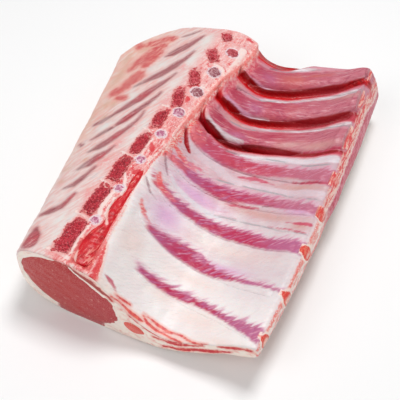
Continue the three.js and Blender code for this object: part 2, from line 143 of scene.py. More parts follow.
# Joints between them, each with its middle and its diameter across.
JOINT_STRETCH = 1.1  # how much longer they are along the spine
JOINTS = [dict(at=at, size=(across, across * JOINT_STRETCH), turn=0, waist=0) for at, across in (
    ((-33, -58.5), 5.4),
    ((-33, -33), 5.4),
    ((-33, -9), 5.8),
    ((-31.9, 14.6), 6.2),
    ((-31, 36.2), 7.0),
    ((-29, 57.8), 8.0),
    ((-27.5, 80.3), 8.6),
    ((-25, 103.7), 8.0),
)]
# Feather bones, each from its outer to its inner end.
FEATHER_BONES = np.array([
    [(-66, -65), (-52, -43)],
    [(-66, -46), (-53, -24)],
    [(-68, -32), (-53, -7)],
    [(-73, -16), (-51, 26)],
    [(-80, -5), (-67.5, 11)],
    [(-66, 10), (-48, 53)],
    [(-83, 14), (-52, 70)],
    [(-73, 53), (-50, 97)],
    [(-69, 85), (-49, 122)],
], float)
# The red strip of muscle along the spine, as [x, y, width] points, and the Y of its two ends.
CHINE_STRIP = np.array([
    [-25.5, -86, 9], [-27, -75, 9.4], [-27.2, -66, 8.4], [-26.4, -58, 5], [-27.6, -50, 6],
    [-28, -42, 5.6], [-27.4, -34, 3.4], [-28, -24, 4.4], [-28, -16, 2.4],
], float)
STRIP_START = -86.2
STRIP_STOP = -15.6

# Depths in the upper skin: of the hollows, slits and folds, and of the seats under the pieces.
HOLLOW_DEPTH = 4.2
SLIT_DEPTH = 1.3
FOLD_DEPTH = 0.45
RIB_SEAT = 1.6
BONE_SEAT = 1.8
JOINT_SEAT = 1.6
STRIP_SEAT = 1.4
BLADE_SEAT = 0.4
MUSCLE_SEAT = 1.6  # in the cut faces


def smooth(value, low, high):
    """0 below low, 1 above high, and the cubic 3t^2 - 2t^3 between them."""
    t = np.clip((value - low) / (high - low), 0.0, 1.0)
    return t * t * (3.0 - 2.0 * t)


def spline(x, knots, values):
    """A curve through the values at the knots, with the tangent at each taken from its neighbours."""
    knots = np.asarray(knots, float)
    values = np.asarray(values, float)
    slopes = np.gradient(values, knots)
    k = np.clip(np.searchsorted(knots, x) - 1, 0, len(knots) - 2)
    step = knots[k + 1] - knots[k]
    t = (x - knots[k]) / step
    inside = np.clip(t, 0.0, 1.0)
    past = (t - inside) * step
    a, b = values[k], values[k + 1]
    p, q = slopes[k] * step, slopes[k + 1] * step
    cubic = (a + inside * p + inside**2 * (3 * (b - a) - 2 * p - q)
             + inside**3 * (2 * (a - b) + p + q))
    return cubic + past * np.where(past < 0, slopes[k], slopes[k + 1])


def catmull(before, a, b, after, t):
    """The Catmull-Rom curve from a to b at t between 0 and 1."""
    return 0.5 * (2 * a + (b - before) * t + (2 * before - 5 * a + 4 * b - after) * t**2
                  + (3 * a - before - 3 * b + after) * t**3)


def squared(value, power):
    """The value's size to the power, with its sign kept: below 1 it turns a circle into a square."""
    return np.sign(value) * np.abs(value) ** power


def ripple(x, y, size, seed, waves=14):
    """Smooth unevenness between about -1 and 1: the sum of plane waves of about that size in mm, with
    seeded directions, lengths and phases, over the root of their number."""
    draw = np.random.default_rng(seed)
    turn = draw.uniform(0, 2 * np.pi, waves)
    length = size * draw.uniform(0.7, 1.6, waves)
    phase = draw.uniform(0, 2 * np.pi, waves)
    total = sum(
        np.sin(2 * np.pi * (x * np.cos(a) + y * np.sin(a)) / s + p)
        for a, s, p in zip(turn, length, phase)
    )
    return total / math.sqrt(waves)


def swell(x, y):
    """The slow unevenness that the skin and the pieces set in it share."""
    return 0.22 * ripple(x, y, 26, 3)


# ------------------------------------------------------------------ the outer form


def near_cut(x):
    """Y of the loin-end cut at x."""
    return NEAR_Y + NEAR_SKEW * smooth(x, 20, 66)


def far_cut(x):
    """Y of the shoulder-end cut at x: rounded off at the feather bones, with a shallow dip."""
    outer = np.clip((FAR_ROUNDING_FROM - x) / FAR_ROUNDING_REACH, 0, 2)
    dip = FAR_DIP * np.exp(-(((x - FAR_DIP_X) / FAR_DIP_WIDTH) ** 2))
    return FAR_Y + FAR_SKEW * smooth(x, -20, 62) - FAR_ROUNDING * outer**2 - dip


def between_cuts(x, w):
    """Y at the share w of the way from the loin-end cut to the shoulder-end cut."""
    return near_cut(x) + (far_cut(x) - near_cut(x)) * w


def loop_point(s, w):
    """[x, z] of the cross-section at w, s points round it: a Catmull-Rom curve through the section's
    points, each on a parabola through its places at the loin end, half way and the shoulder end."""
    s, w = np.broadcast_arrays(np.asarray(s, float), np.asarray(w, float))
    weights = np.stack([2 * (w - 0.5) * (w - 1), -4 * w * (w - 1), 2 * w * (w - 0.5)], -1)
    k = np.floor(s).astype(int)
    around = [np.einsum("...k,...kc->...c", weights, SECTIONS[(k + o) % POINTS]) for o in (-1, 0, 1, 2)]
    return catmull(*around, (s - k)[..., None])


def form(s, w):
    """The outer form: its cross-section at w, laid between the two cuts."""
    x, z = np.moveaxis(loop_point(s, w), -1, 0)
    return np.stack([x, between_cuts(x, w), np.maximum(z, 0)], -1)


def top_height(x, y):
    """Height of the upper side at x, y: halving along the cross-section through the place."""
    w = (y - near_cut(x)) / (far_cut(x) - near_cut(x))
    low = np.full(np.shape(x), TOP_START)
    high = np.full(np.shape(x), float(TOP_END))
    for _ in range(22):
        middle = (low + high) / 2
        short = loop_point(middle, w)[..., 0] < x
        low = np.where(short, middle, low)
        high = np.where(short, high, middle)
    return loop_point(low, w)[..., 1]


def long_top_height(x, y):
    """The same, carried on straight past STRAIGHT_FROM."""
    inner = np.minimum(x, STRAIGHT_FROM)
    z = top_height(inner, y)
    return z + (z - top_height(inner - 3, y)) / 3 * (x - inner)


def on_top(x, y, rise, height=top_height):
    """Points that stand rise mm off the upper side at x, y, along its normal."""
    step = 0.8
    z = height(x, y)
    along_x = (height(x + step, y) - height(x - step, y)) / (2 * step)
    along_y = (height(x, y + step) - height(x, y - step)) / (2 * step)
    normal = np.stack([-along_x, -along_y, np.ones_like(z)], -1)
    normal /= np.linalg.norm(normal, axis=-1, keepdims=True)
    return np.stack([x, y, z], -1) + normal * np.asarray(rise)[..., None]


# ------------------------------------------------------------------ lines of the upper side

# The rosy band over each rib: the X of its left end, and the Y of its loin and its shoulder edge at
# each X of BAND_X.
BAND_X = [-15, 0, 15, 30, 45, 60]
BANDS = table(
    "left loin shoulder",
    (-5, [-65.3, -66.3, -66.3, -66.3, -70.3, -77.3], [-64.9, -62.7, -61.7, -62.3, -67.4, -70.7]),
    (-12, [-41.5, -44, -44.6, -46, -45.4, -47.2], [-40.5, -36.3, -34.5, -41, -43.4, -46]),
    (-21, [-17.3, -19, -19.2, -19.7, -20.5, -21.3], [-13.3, -12.7, -12.3, -11, -12, -13.3]),
    (-22, [3.9, 3.3, 4.3, 8.7, 9.5, 8], [9, 10.3, 14.3, 16.3, 16.7, 14]),
    (-22, [26, 25.3, 28.3, 31, 33.5, 31.3], [39, 37, 38, 40.7, 41.8, 42]),
    (-21, [45, 42.7, 49, 53, 55, 57.5], [57, 54.5, 61.5, 68, 74, 74.5]),
    (-19, [68.7, 67, 72.5, 79.3, 86, 91], [82, 80.5, 90.5, 98.5, 104.5, 107]),
    (-16, [98, 94.3, 100.7, 108.4, 116, 122.5], [109, 112, 118.5, 126, 131.5, 135]),
)
# Dark hollows under the loin edge of the last ribs: the rib's place in BANDS, the X of the hollow's
# left end, and the Y of its far side at each X of BAND_X.
HOLLOWS = table(
    "rib left floor",
    (7, -15.4, [90, 88, 93.5, 101, 109.5, 117.5]),
    (6, -18.9, [63.3, 62.3, 66.7, 72.7, 78.7, 84.3]),
    (5, -19.9, [40.7, 39, 45, 50, 52.7, 55.5]),
)
# The last hollow lies beyond rib 8. Its loin side, as [x, y] points, and the X where it ends.
LAST_HOLLOW = [(-14, 115), (0, 116.5), (10, 119.5), (22, 129)]
LAST_HOLLOW_END = 26
# Thin grey folds in the membrane, as [x, y] points.
FOLDS = [
    [(3, 115), (10, 117.5), (20, 123.5), (28, 127.5)],
    [(-4, 84.2), (4, 84), (20, 96), (40, 106), (62, 110)],
    [(-4, 57), (4, 58), (20, 66), (40, 75.3), (50, 78), (64, 78)],
    [(2, 36.5), (10, 39.5), (20, 43.5), (30, 45.5), (50, 45.5), (62, 46)],
    [(6, 15.5), (20, 19.5), (30, 20.5), (45, 20.5), (55, 18.5), (66, 18)],
    [(10, -8.5), (22, -5.3), (30, -5), (45, -5), (52, -6.5), (66, -8)],
]

# Strokes on the upper side, each a run of [x, y, half width] points.
STROKES = dict(
    # pale stripes of membrane, with painted highlights along the loin-side edges of ribs 6 to 8
    pearl=[
        [(-20.6, 55, 0.2), (-19.4, 50, 1), (-17, 46.4, 1.2), (-12, 44.9, 1.2), (-5, 44.4, 1.2),
         (1, 45.4, 0.8), (7, 47.2, 0.2)],
        [(-18, 77, 0.1), (-16.6, 72, 0.4), (-12, 69.2, 0.5), (-3, 68, 0.5), (5, 69, 0.4),
         (14, 72.3, 0.1)],
        [(-14, 103, 0.1), (-13, 98.5, 0.3), (-8, 95.6, 0.4), (0, 94.8, 0.4), (8, 96.6, 0.3),
         (20, 102, 0.1)],
        [(4, 85, 0.8), (12, 89.6, 1.2), (20, 94, 1.5), (30, 99, 1.4), (40, 103.6, 1.8), (50, 108, 2),
         (58, 110.5, 1.5)],
        [(2, 60.4, 0.4), (12, 64, 1), (20, 67.3, 1.3), (30, 71.7, 1.8), (40, 75.8, 2), (50, 78.6, 2.2),
         (62, 81.5, 2)],
        [(2, 37.6, 0.5), (10, 40, 1.1), (20, 43.6, 1.7), (30, 46.8, 2.2), (40, 48.8, 2.6), (52, 50, 3),
         (64, 51, 3)],
        [(-21, 29, 0.5), (-19, 25.5, 0.8), (-15, 22.6, 1.6), (-8, 22, 2.8), (2, 21.3, 3.2),
         (12, 19.8, 2), (22, 21.4, 1.7), (34, 22.2, 2), (46, 22.6, 2.2), (58, 22.3, 2.8),
         (66, 22, 2.5)],
        [(7, 119.6, 0.5), (14, 121.6, 0.9), (21, 125, 0.8), (26, 127.5, 0.2)],
        [(-18, -2, 0.4), (-14, -6, 1), (-5, -8, 1.6), (8, -8.6, 1.4), (20, -8.2, 0.6)],
    ],
    # red slits where the last ribs end beside the spine
    slit=[
        [(-20, 77, 0.5), (-19.4, 71, 1.1), (-16.8, 66.5, 1.5), (-12, 64.2, 1.8)],
        [(-21.4, 54, 0.4), (-20.6, 48, 0.9), (-18, 43, 1.4), (-13, 41.2, 1.5)],
        [(-22.9, 30.5, 0.3), (-21, 26, 0.8), (-18.5, 21.5, 1.1), (-15.5, 18.9, 0.6)],
        [(-15.4, 100, 0.3), (-14.6, 95.5, 1), (-11, 92.6, 1.7)],
    ],
    # streaks of meat in the fat between the ribs and beside the loin end
    dash=[
        [(14, 23.8, 0.3), (18, 25.2, 1), (23, 27.2, 1.5), (28, 27.4, 1), (36, 26.6, 0.4)],
        [(53, -0.3, 0.2), (58, -1, 0.8), (63, -1.2, 1.2), (67, -0.8, 1.4)],
        [(15, 2.3, 0.3), (18, 3.2, 0.9), (24, 4.8, 0.7), (34, 6.6, 0.3)],
        [(-13.5, -82.8, 0.6), (-10.5, -83.3, 1.1), (-7, -85, 0.5)],
        [(44, -4.2, 0.2), (54, -5, 0.4), (62, -7, 0.5), (67, -7.5, 0.4)],
        [(46, 30.6, 0.3), (56, 30.4, 0.6), (66, 30.4, 0.5)],
        [(44, 55.8, 0.4), (54, 57, 0.6), (64, 60, 0.6)],
    ],
    # coral and red lines near the loin-end cut
    lean=[
        [(-7, -89.3, 0.2), (-4.2, -88.2, 0.3), (-0.8, -88, 0.5), (2, -88.2, 0.8), (5.6, -88, 1),
         (8.6, -87.8, 0.4)],
        [(-6, -86.6, 0.3), (-2.8, -85.8, 0.6), (0.4, -84.8, 0.5)],
        [(7.4, -83.6, 0.2), (11.4, -84, 0.4), (15.8, -84.6, 0.8), (21.2, -85.2, 0.8), (25.6, -85, 0.4),
         (29.8, -85.2, 0.5), (34.8, -87, 0.5), (39, -87.4, 0.4), (44, -86.8, 0.2)],
        [(7.4, -84.8, 0.3), (10.6, -86.8, 0.7), (15.6, -87.6, 0.7), (20.2, -87.4, 0.6),
         (25, -88.2, 0.5), (31, -88.6, 0.3)],
        [(-20.6, -69, 0.5), (-19.6, -76, 1.5), (-18, -83.2, 2.1), (-16.8, -89, 2.2)],
    ],
    # coral flesh at the left ends of the bands
    flesh=[
        [(-21, -8.2, 0.5), (-20.2, -11, 1.5), (-18, -14.2, 1.9), (-13.8, -15.6, 1.6), (-9.2, -15.8, 1)],
        [(-22.2, 14.6, 0.4), (-20.6, 13.2, 1.5), (-18, 12, 1.9), (-14.5, 11.2, 1.6), (-9, 11, 1)],
        [(-14.4, 11.8, 0.5), (-10.6, 13.2, 1.2), (-5.8, 14, 0.3)],
        [(-20.6, -31, 0.4), (-18.8, -34.2, 1.2), (-16.4, -36.8, 1.1), (-12.4, -38, 0.4)],
        [(-26.4, -1, 0.4), (-25.4, 2.6, 1.5), (-24.2, 6, 0.5)],
        [(-21.4, 39.4, 0.4), (-19.4, 37.6, 1.4), (-17, 35.4, 1.6), (-13, 33, 1.2)],
    ],
    # small dark slits and veins
    nick=[
        [(-24, 4.6, 0.1), (-22.6, 2, 0.4), (-21.4, -0.4, 0.5), (-19.6, -3, 0.4), (-17.8, -5.4, 0.1)],
        [(-24.8, -17.4, 0.2), (-21.8, -21, 0.5), (-19.6, -23.2, 0.4), (-15.6, -23.4, 0.1)],
        [(-11, 84.1, 0.2), (-8, 84.3, 0.6), (-5, 84.6, 0.2)],
        [(-1.5, 113, 0.3), (2, 115.6, 0.9), (6, 118, 0.3)],
        [(-3, 37.4, 0.2), (2, 37.2, 0.5), (8, 39, 0.3)],
        [(36, 8.2, 0.2), (39, 9.4, 0.5), (41.5, 10.6, 0.2)],
    ],
    # feather bones and the meat along them
    blade=[
        [(-66.5, 89.5, 0.8), (-62.5, 92.5, 2), (-58, 99, 2.2), (-54, 107, 2), (-50.5, 115, 0.7)],
        [(-66, 93, 0.8), (-62, 99, 1.4), (-58, 104, 0.8)],
        [(-72, 55, 0.5), (-66, 61, 2), (-60, 69, 2.9), (-55, 79, 2.7), (-51.5, 87, 1.8),
         (-49, 96, 0.7)],
        [(-80, 18, 1.6), (-76, 19.8, 2), (-71, 25.5, 1.5), (-67, 32, 2), (-62, 41.5, 3.2),
         (-58.5, 50.5, 2.7), (-55, 57.5, 1.8), (-52, 64, 1.2), (-50, 71, 0.7)],
        [(-72.5, 2, 0.5), (-70, 5, 1.2), (-66, 10.5, 1.7), (-64, 13, 1.2)],
        [(-62.5, 15.5, 1.4), (-60, 21, 2.6), (-57, 28.5, 2.4), (-54, 35, 1.7), (-51.5, 42, 1.3),
         (-50, 50, 0.8)],
        [(-67, -9.5, 0.9), (-63, -5, 2.6), (-59.5, 0.5, 2.6), (-56.5, 7, 2.1), (-53.5, 13.5, 1.3),
         (-51.5, 21, 0.9), (-51, 30, 0.5)],
        [(-80, -0.5, 0.7), (-77, -2.5, 1.2)],
        [(-64.5, -25, 1), (-60.5, -20.5, 2.8), (-57.5, -13.5, 2.8), (-54.5, -7.5, 1.1),
         (-53.6, -3, 0.5)],
        [(-63.5, -41.5, 0.9), (-59, -38.5, 2), (-56.8, -32, 1.5), (-54.6, -22.5, 0.7)],
        [(-65.5, -63, 1), (-61, -60.5, 2.2), (-56.5, -56, 1.8), (-54.8, -50, 1.2), (-54, -45, 0.8)],
        [(-60.5, -74, 1.8), (-58.4, -79, 3.8), (-57.4, -84, 4.4)],
        [(-66, 113, 0.5), (-60, 117, 1.1), (-56, 121, 0.6)],
    ],
    # pale lines of bone edge, gristle and fat round the spine
    cream=[
        [(-45.5, -57, 0.6), (-40, -58.2, 0.8), (-36, -60.4, 0.7), (-33.8, -63.3, 0.8)],
        [(-46, -31, 0.4), (-42, -32.2, 0.6), (-37.5, -34.2, 0.6), (-34.5, -37, 0.9)],
        [(-46, -7, 0.4), (-42, -8.4, 0.7), (-38, -9.5, 0.6), (-36, -11, 0.5)],
        [(-44, 15.5, 0.3), (-40, 14, 0.6), (-36, 11.5, 0.6)],
        [(-43, 37.5, 0.3), (-39, 37.8, 0.6), (-35.6, 40.5, 0.5)],
        [(-35, -38, 1.1), (-34.7, -44, 1.2), (-34.7, -50, 1.2), (-33, -54.5, 0.8)],
        [(-34, -63.3, 0.9), (-35, -69, 1.1), (-35, -74, 1.2), (-33, -79, 1.4), (-30, -84, 1.3),
         (-28.5, -88, 1)],
        [(-45, -84.6, 0.8), (-38, -84.9, 0.9), (-32, -86, 0.9)],
        [(-34.4, 8, 0.5), (-35, 2, 0.5), (-34.4, -5, 0.5)],
        [(-25.2, 34, 0.1), (-26, 24, 0.3), (-25.6, 12, 0.3), (-26.8, 2, 0.3), (-28, -10, 0.2)],
        [(-35.5, -22, 0.4), (-33, -26.5, 0.6), (-30.6, -31.5, 0.7), (-29.6, -37, 0.5)],
        [(-24.6, -10, 0.4), (-25, -24, 0.7), (-24.6, -37, 0.7), (-23, -50, 0.8), (-21.8, -60, 0.8),
         (-21.4, -67, 0.3)],
        [(-31.4, -41, 0.4), (-31.2, -48, 0.5), (-29, -54, 0.6), (-26.4, -58, 0.4)],
        [(-24.6, 66, 0.2), (-23.6, 58, 0.3), (-24.4, 48, 0.3), (-26.4, 40, 0.2)],
        [(-20.4, 90, 0.2), (-20.8, 80, 0.4), (-22.2, 70, 0.3), (-23.4, 62, 0.2)],
        [(-20, 110, 2), (-19, 100, 1.5), (-20.5, 92, 1)],
        [(-33, 92, 0.4), (-30, 86.5, 0.5), (-24.5, 86.5, 0.6), (-21.6, 82, 0.6)],
        [(-35, 64, 0.5), (-32, 63.4, 0.5), (-26.5, 63.6, 0.5)],
    ],
    # coral and red streaks of meat round the spine
    coral=[
        [(-33, 5.5, 0.6), (-31.4, 2.5, 1.6), (-29.4, -2.5, 0.7)],
        [(-25.4, 5, 0.5), (-24.8, 2, 1.3), (-24.6, -1.5, 0.6)],
        [(-22.6, 28, 0.6), (-22.8, 25, 1.3), (-24, 21, 0.7)],
        [(-31.5, 50, 1.4), (-30.5, 46, 0.8)],
        [(-24.8, 49, 0.8), (-24.6, 43, 0.8), (-24.4, 36, 0.6)],
        [(-23, 94, 0.5), (-20.8, 92, 0.9)],
        [(-25.4, 74, 0.5), (-23.4, 76.5, 0.8)],
        [(-21.5, 84.5, 0.3), (-22.6, 87.5, 0.5)],
        [(-22, 122, 1), (-18.5, 122, 1.2)],
        [(-20.6, -69, 0.3), (-19.4, -76, 0.7), (-17.8, -83, 1.1), (-17, -89, 1.5)],
        [(-34.5, -15, 0.6), (-33, -18, 1.1), (-31, -19.5, 1.3), (-29.3, -17, 1.3)],
        [(-36, -25, 0.4), (-33.4, -29.5, 0.8), (-31, -35, 0.8)],
        [(-40, 20.5, 0.9), (-40.3, 17.4, 1), (-38.5, 16, 0.6)],
        [(-33.5, 65.6, 1), (-34.5, 62, 0.9)],
        [(-34, 85.5, 1), (-33, 83.5, 0.6)],
        [(-43, -56, 0.8), (-39, -56.6, 0.9)],
    ],
    # meat on the outer part of the split face
    patch=[
        [(-84, 51, 3), (-79.5, 55.5, 2.5)],
        [(-79.5, 59, 3), (-76.5, 65, 4), (-76.8, 69.5, 2.2)],
        [(-86, 76, 1.4), (-84.5, 82, 2.4), (-82, 90, 2.6), (-79, 97, 3), (-76, 102, 2)],
        [(-76.5, 79, 1.8), (-76, 87, 3), (-76.5, 95, 3)],
        [(-86, 105, 1.6), (-81, 107.5, 2)],
        [(-77, 110, 2.4), (-73, 110.5, 2)],
        [(-95.5, 103.5, 0.6), (-93, 101.6, 1.4)],
        [(-79, 45, 0.9), (-74, 43.5, 1.4)],
    ],
)
# Soft ovals of colour on the upper side, each [x, y, half length, half width, turn in degrees].
SPOTS = dict(
    lilac=[
        (-8, -27, 9, 9, 10), (-1, -3, 15, 5, 0), (4, 74.5, 6, 5, 20), (3, 102.5, 5, 5, 0),
        (58, 7, 9, 2.5, 0), (-4, 27, 7, 2.5, 0), (30, -40, 14, 3, 0), (2, 48, 7, 3, 20),
        (-10, 4.5, 8, 2.5, 0), (60, 36, 5, 3, 0), (26, 95, 5, 2, 30),
    ],
    peach=[
        (10, -68, 9, 5, 0), (34, -74, 17, 6, -8), (34, -27, 24, 5, 0), (-14, -56, 6, 9, 0),
        (20, -52, 16, 4, 0), (50, -84, 14, 3, -8), (22, 98.5, 5, 2, 25), (30, 120, 8, 2, 25),
        (16, 109.5, 9, 6, 30),
    ],
    beige=[
        (40, 3, 26, 3.2, 0), (52, 27, 16, 3, 0), (50, 60, 13, 2.6, 12), (-2, 60, 9, 2.6, 5),
        (34, 57.5, 9, 2.2, 25), (-13, 86.5, 5, 2.5, 20), (40, 34, 10, 2, 0), (56, 104, 8, 2, 10),
        (62, -3, 6, 3, 0),
    ],
    crimson=[
        (32, -15, 17, 4, 0), (12, -42, 8, 3, 0), (14, -64, 8, 2.5, 0), (-8, 106, 6, 5, 40),
        (-11, 76, 5, 6, 50), (22, 34, 10, 4, 10), (-8, 33, 7, 4, 20), (-6, 55, 8, 4, 20),
        (30, 13.5, 14, 3, 0), (14, 88, 6, 3, 30), (24, 62, 8, 3, 25), (2, 32, 6, 4, 0),
    ],
    # on the split face
    red=[
        (-58, -80, 7, 8, 0), (-60, 46, 5, 7, -30), (-58, 23, 4, 6, -30), (-56, -14, 3, 6, -20),
        (-55, -48, 3, 6, 0), (-57, 6, 3, 5, -20),
    ],
    grey=[
        (-71, 57, 6, 5, 45), (-74, 22, 5, 3, 40), (-68, 9, 4, 5, 0), (-64, -24, 4, 5, 0),
        (-67, -42, 8, 5, 0), (-72, -8, 8, 4, 0), (-51, -54, 2.5, 8, 0), (-49, -86, 2.5, 5, 0),
        (-61, 117, 6, 3, 40),
    ],
    white=[
        (-46, 85, 4, 13, 0), (-46, 60, 3, 9, 0), (-45.5, 108, 5, 8, 10), (-46, 12, 3, 12, 0),
        (-66, 77, 5, 7, -30), (-69, 45, 5, 7, -30), (-70, 15, 4, 7, -30), (-51, -64, 2.5, 12, 0),
        (-47, -68, 3, 16, 0),
    ],
    salmon=[
        (-48, 78, 3, 5, 0), (-53, -3, 3, 7, -20), (-52, -17, 3, 7, -10), (-46, -42, 3, 9, 0),
        (-51, 16, 2.5, 5, 0), (-46, -14, 3, 8, 0), (-40, -87, 7, 2.5, 0), (-49, 122, 5, 3, 0),
        (-31, 110, 6, 6, 0), (-43, 44, 2.5, 8, 0),
    ],
    tan=[
        (-78, 38, 2.5, 5, 10), (-77, 24, 2.5, 3, 0), (-74, -24, 3.5, 2.2, 20), (-65, -17, 2, 2.5, 0),
        (-90, 20, 4, 16, 0), (-92, 70, 4, 14, 0), (-88, 100, 7, 5, 0), (-84, 38, 3, 6, 0),
        (-71, -35, 3, 2, 0), (-96, 88, 3, 7, 0),
    ],
)


def rib_y(rib, x):
    """Y of a rib's middle line at x: a parabola, with a hook beside the spine that dies away as exp."""
    curl = rib["hook"] * np.exp(-(x - HOOK_START) / HOOK_LENGTH)
    return rib["base"] + rib["slope"] * x + rib["bend"] * x**2 + curl


def rib_half_width(rib, x):
    """Half the width of a rib at x: it grows evenly past x = 0."""
    return (rib["width"] + rib["spread"] * np.maximum(x, 0)) / 2


def stroke_field(u, v, strokes):
    """Distance from the nearest stroke, below 0 inside one; the half width changes evenly between
    the points of a stroke."""
    nearest = np.full(np.shape(u), 60.0)
    for stroke in strokes:
        for (u0, v0, half0), (u1, v1, half1) in zip(stroke, stroke[1:]):
            du, dv = u1 - u0, v1 - v0
            t = np.clip(((u - u0) * du + (v - v0) * dv) / (du**2 + dv**2), 0, 1)
            away = np.hypot(u - u0 - du * t, v - v0 - dv * t) - half0 - (half1 - half0) * t
            nearest = np.minimum(nearest, away)
    return nearest


def spot_field(u, v, spots):
    """1 in the middle of an oval and 0 well outside: exp of minus the squared distance in half
    sizes, for the nearest oval."""
    share = np.zeros(np.shape(u))
    for u0, v0, length, width, turn in spots:
        c, s = math.cos(math.radians(turn)), math.sin(math.radians(turn))
        a = ((u - u0) * c + (v - v0) * s) / length
        b = ((v - v0) * c - (u - u0) * s) / width
        share = np.maximum(share, np.exp(-(a**2 + b**2)))
    return share


def rib_lines(x, y):
    """Fields of the rib side at x, y, in mm unless named as shares:
    band: distance into the nearest rosy band, below 0 outside;
    side: from -1 at the loin side of the nearest band to 1 at its shoulder side;
    rib: place counted in ribs, 1 on the first rib and 8 on the last;
    hollow: distance into a dark hollow, above 0 inside it;
    floor: share of the way from the rib's edge to the hollow's far side;
    fold: 1 on a grey fold, and 0 well away from it."""
    x = np.clip(x, -40, 75)
    per_band = (-1,) + (1,) * np.ndim(x)
    loin = np.stack([spline(x, BAND_X, b["loin"]) for b in BANDS])
    shoulder = np.stack([spline(x, BAND_X, b["shoulder"]) for b in BANDS])
    middle = (loin + shoulder) / 2
    start = np.reshape([b["left"] for b in BANDS], per_band)
    slopes = np.array([np.gradient(b["loin"], BAND_X).mean() for b in BANDS])
    leans = np.reshape(1 / np.hypot(1, slopes), per_band)
    inside = np.minimum(np.minimum(y - loin, shoulder - y) * leans, (x - start) * 0.7)
    near = inside.argmax(0)[None]
    reach = (shoulder - loin) / 2 + 2
    side = np.clip(np.take_along_axis((y - middle) / reach, near, 0)[0], -1, 1)
    steps = np.clip((y - middle[:-1]) / (middle[1:] - middle[:-1]), 0, 1).sum(0)
    rib = 1 + steps - np.maximum(middle[0] - y, 0) / 24 + np.maximum(y - middle[-1], 0) / 24

    lean = leans.ravel()[6]
    hollow = np.full(np.shape(x), -50.0)
    floor = np.zeros(np.shape(x))
    for h in HOLLOWS:
        edge = loin[h["rib"]]
        far = spline(x, BAND_X, h["floor"])
        depth = np.minimum((y - far) * lean, np.minimum(edge - y, x - h["left"]))
        floor = np.where(depth > hollow, (edge - y) / (edge - far), floor)
        hollow = np.maximum(hollow, depth)
    xs, ys = zip(*LAST_HOLLOW)
    last = np.minimum(y - spline(x, xs, ys), np.minimum(x - xs[0], LAST_HOLLOW_END - x))
    floor = np.where(last > hollow, 1.1 - np.clip(y - 114, 0, 12) / 14, floor)
    hollow = np.maximum(hollow, last)

    fold = np.zeros(np.shape(x))
    for line in FOLDS:
        xs, ys = zip(*line)
        off = (y - spline(x, xs, ys)) * lean
        beyond = np.maximum(np.maximum(xs[0] - x, x - xs[-1]), 0)
        fold = np.maximum(fold, np.exp(-((off / 0.9) ** 2) - (beyond / 3) ** 2))
    floor = np.clip(floor, -0.5, 1.5)
    return dict(band=inside.max(0), side=side, rib=rib, hollow=hollow, floor=floor, fold=fold)


# The border between the spine and the rib side, as [x, y] points.
BORDER = np.array([
    [-14.6, -90], [-18.4, -77], [-21.4, -68], [-22.4, -57.5], [-23.4, -46], [-25.8, -32.5],
    [-26.4, -14.5], [-26, 4.5], [-25.2, 21.5], [-24, 31], [-23, 43.5], [-22.2, 58],
    [-20.2, 79], [-17, 91], [-14.6, 102], [-12.8, 116], [-12, 128],
], float)


def waist(block, v, rib_side):
    """What is left of a spine bone's width at v, from -1 to 1 along it, on its rib side."""
    return 1 - block["waist"] * np.maximum(1 - np.abs(v - 0.1) ** 2, 0) * rib_side


def block_share(x, y, block):
    """1 on the outline of a split spine bone: the fourth-power superellipse in its own turned axes,
    with its rib side pulled in at the waist."""
    turn = math.radians(block["turn"])
    width, length = block["size"]
    dx, dy = x - block["at"][0], y - block["at"][1]
    across = dx * math.cos(turn) + dy * math.sin(turn)
    along = -dx * math.sin(turn) + dy * math.cos(turn)
    v = along / (length / 2)
    u = across / (width / 2 * waist(block, v, across > 0))
    return (u**4 + v**4) ** 0.25


def chine_strip(y):
    """X of the middle of the red strip at y, and half its width."""
    x, knots, widths = CHINE_STRIP.T
    return spline(y, knots, x), spline(y, knots, widths) / 2


def skin_fields(x, y):
    """All fields of the upper side at x, y: those of rib_lines(), the strokes and the spots; bone:
    distance from the nearest split spine bone, ring: from the nearest joint, and strip: from the
    red strip along the spine, below 0 inside; border: X past the border of the rib side; edge: how
    far the sawn edge is; turn: 3, for well inside the edge where the fat side turns up."""
    fields = rib_lines(x, y)
    for name, strokes in STROKES.items():
        fields[name] = stroke_field(x, y, strokes)
    for name, spots in SPOTS.items():
        fields[name] = spot_field(x, y, spots)
    bone = ring = np.full(np.shape(x), 60.0)
    for block in VERTEBRAE:
        bone = np.minimum(bone, (block_share(x, y, block) - 1) * block["size"][0] / 2)
    for joint in JOINTS:
        (at_x, at_y), (across, _) = joint["at"], joint["size"]
        ring = np.minimum(ring, np.hypot(x - at_x, (y - at_y) / JOINT_STRETCH) - across / 2)
    middle = chine_strip(y)[0]
    half = chine_strip(np.clip(y, *CHINE_STRIP[[0, -1], 1]))[1]
    strip = np.maximum(np.abs(x - middle) - half, np.maximum(STRIP_START - 0.3 - y, y - STRIP_STOP - 0.6))
    border = x - np.interp(y, BORDER[:, 1], BORDER[:, 0])
    edge = sawn_corner(TOP_END, y)[0] - x
    fields.update(bone=bone, ring=ring, strip=strip, border=border, edge=edge, turn=np.full(np.shape(x), 3.0))
    return fields


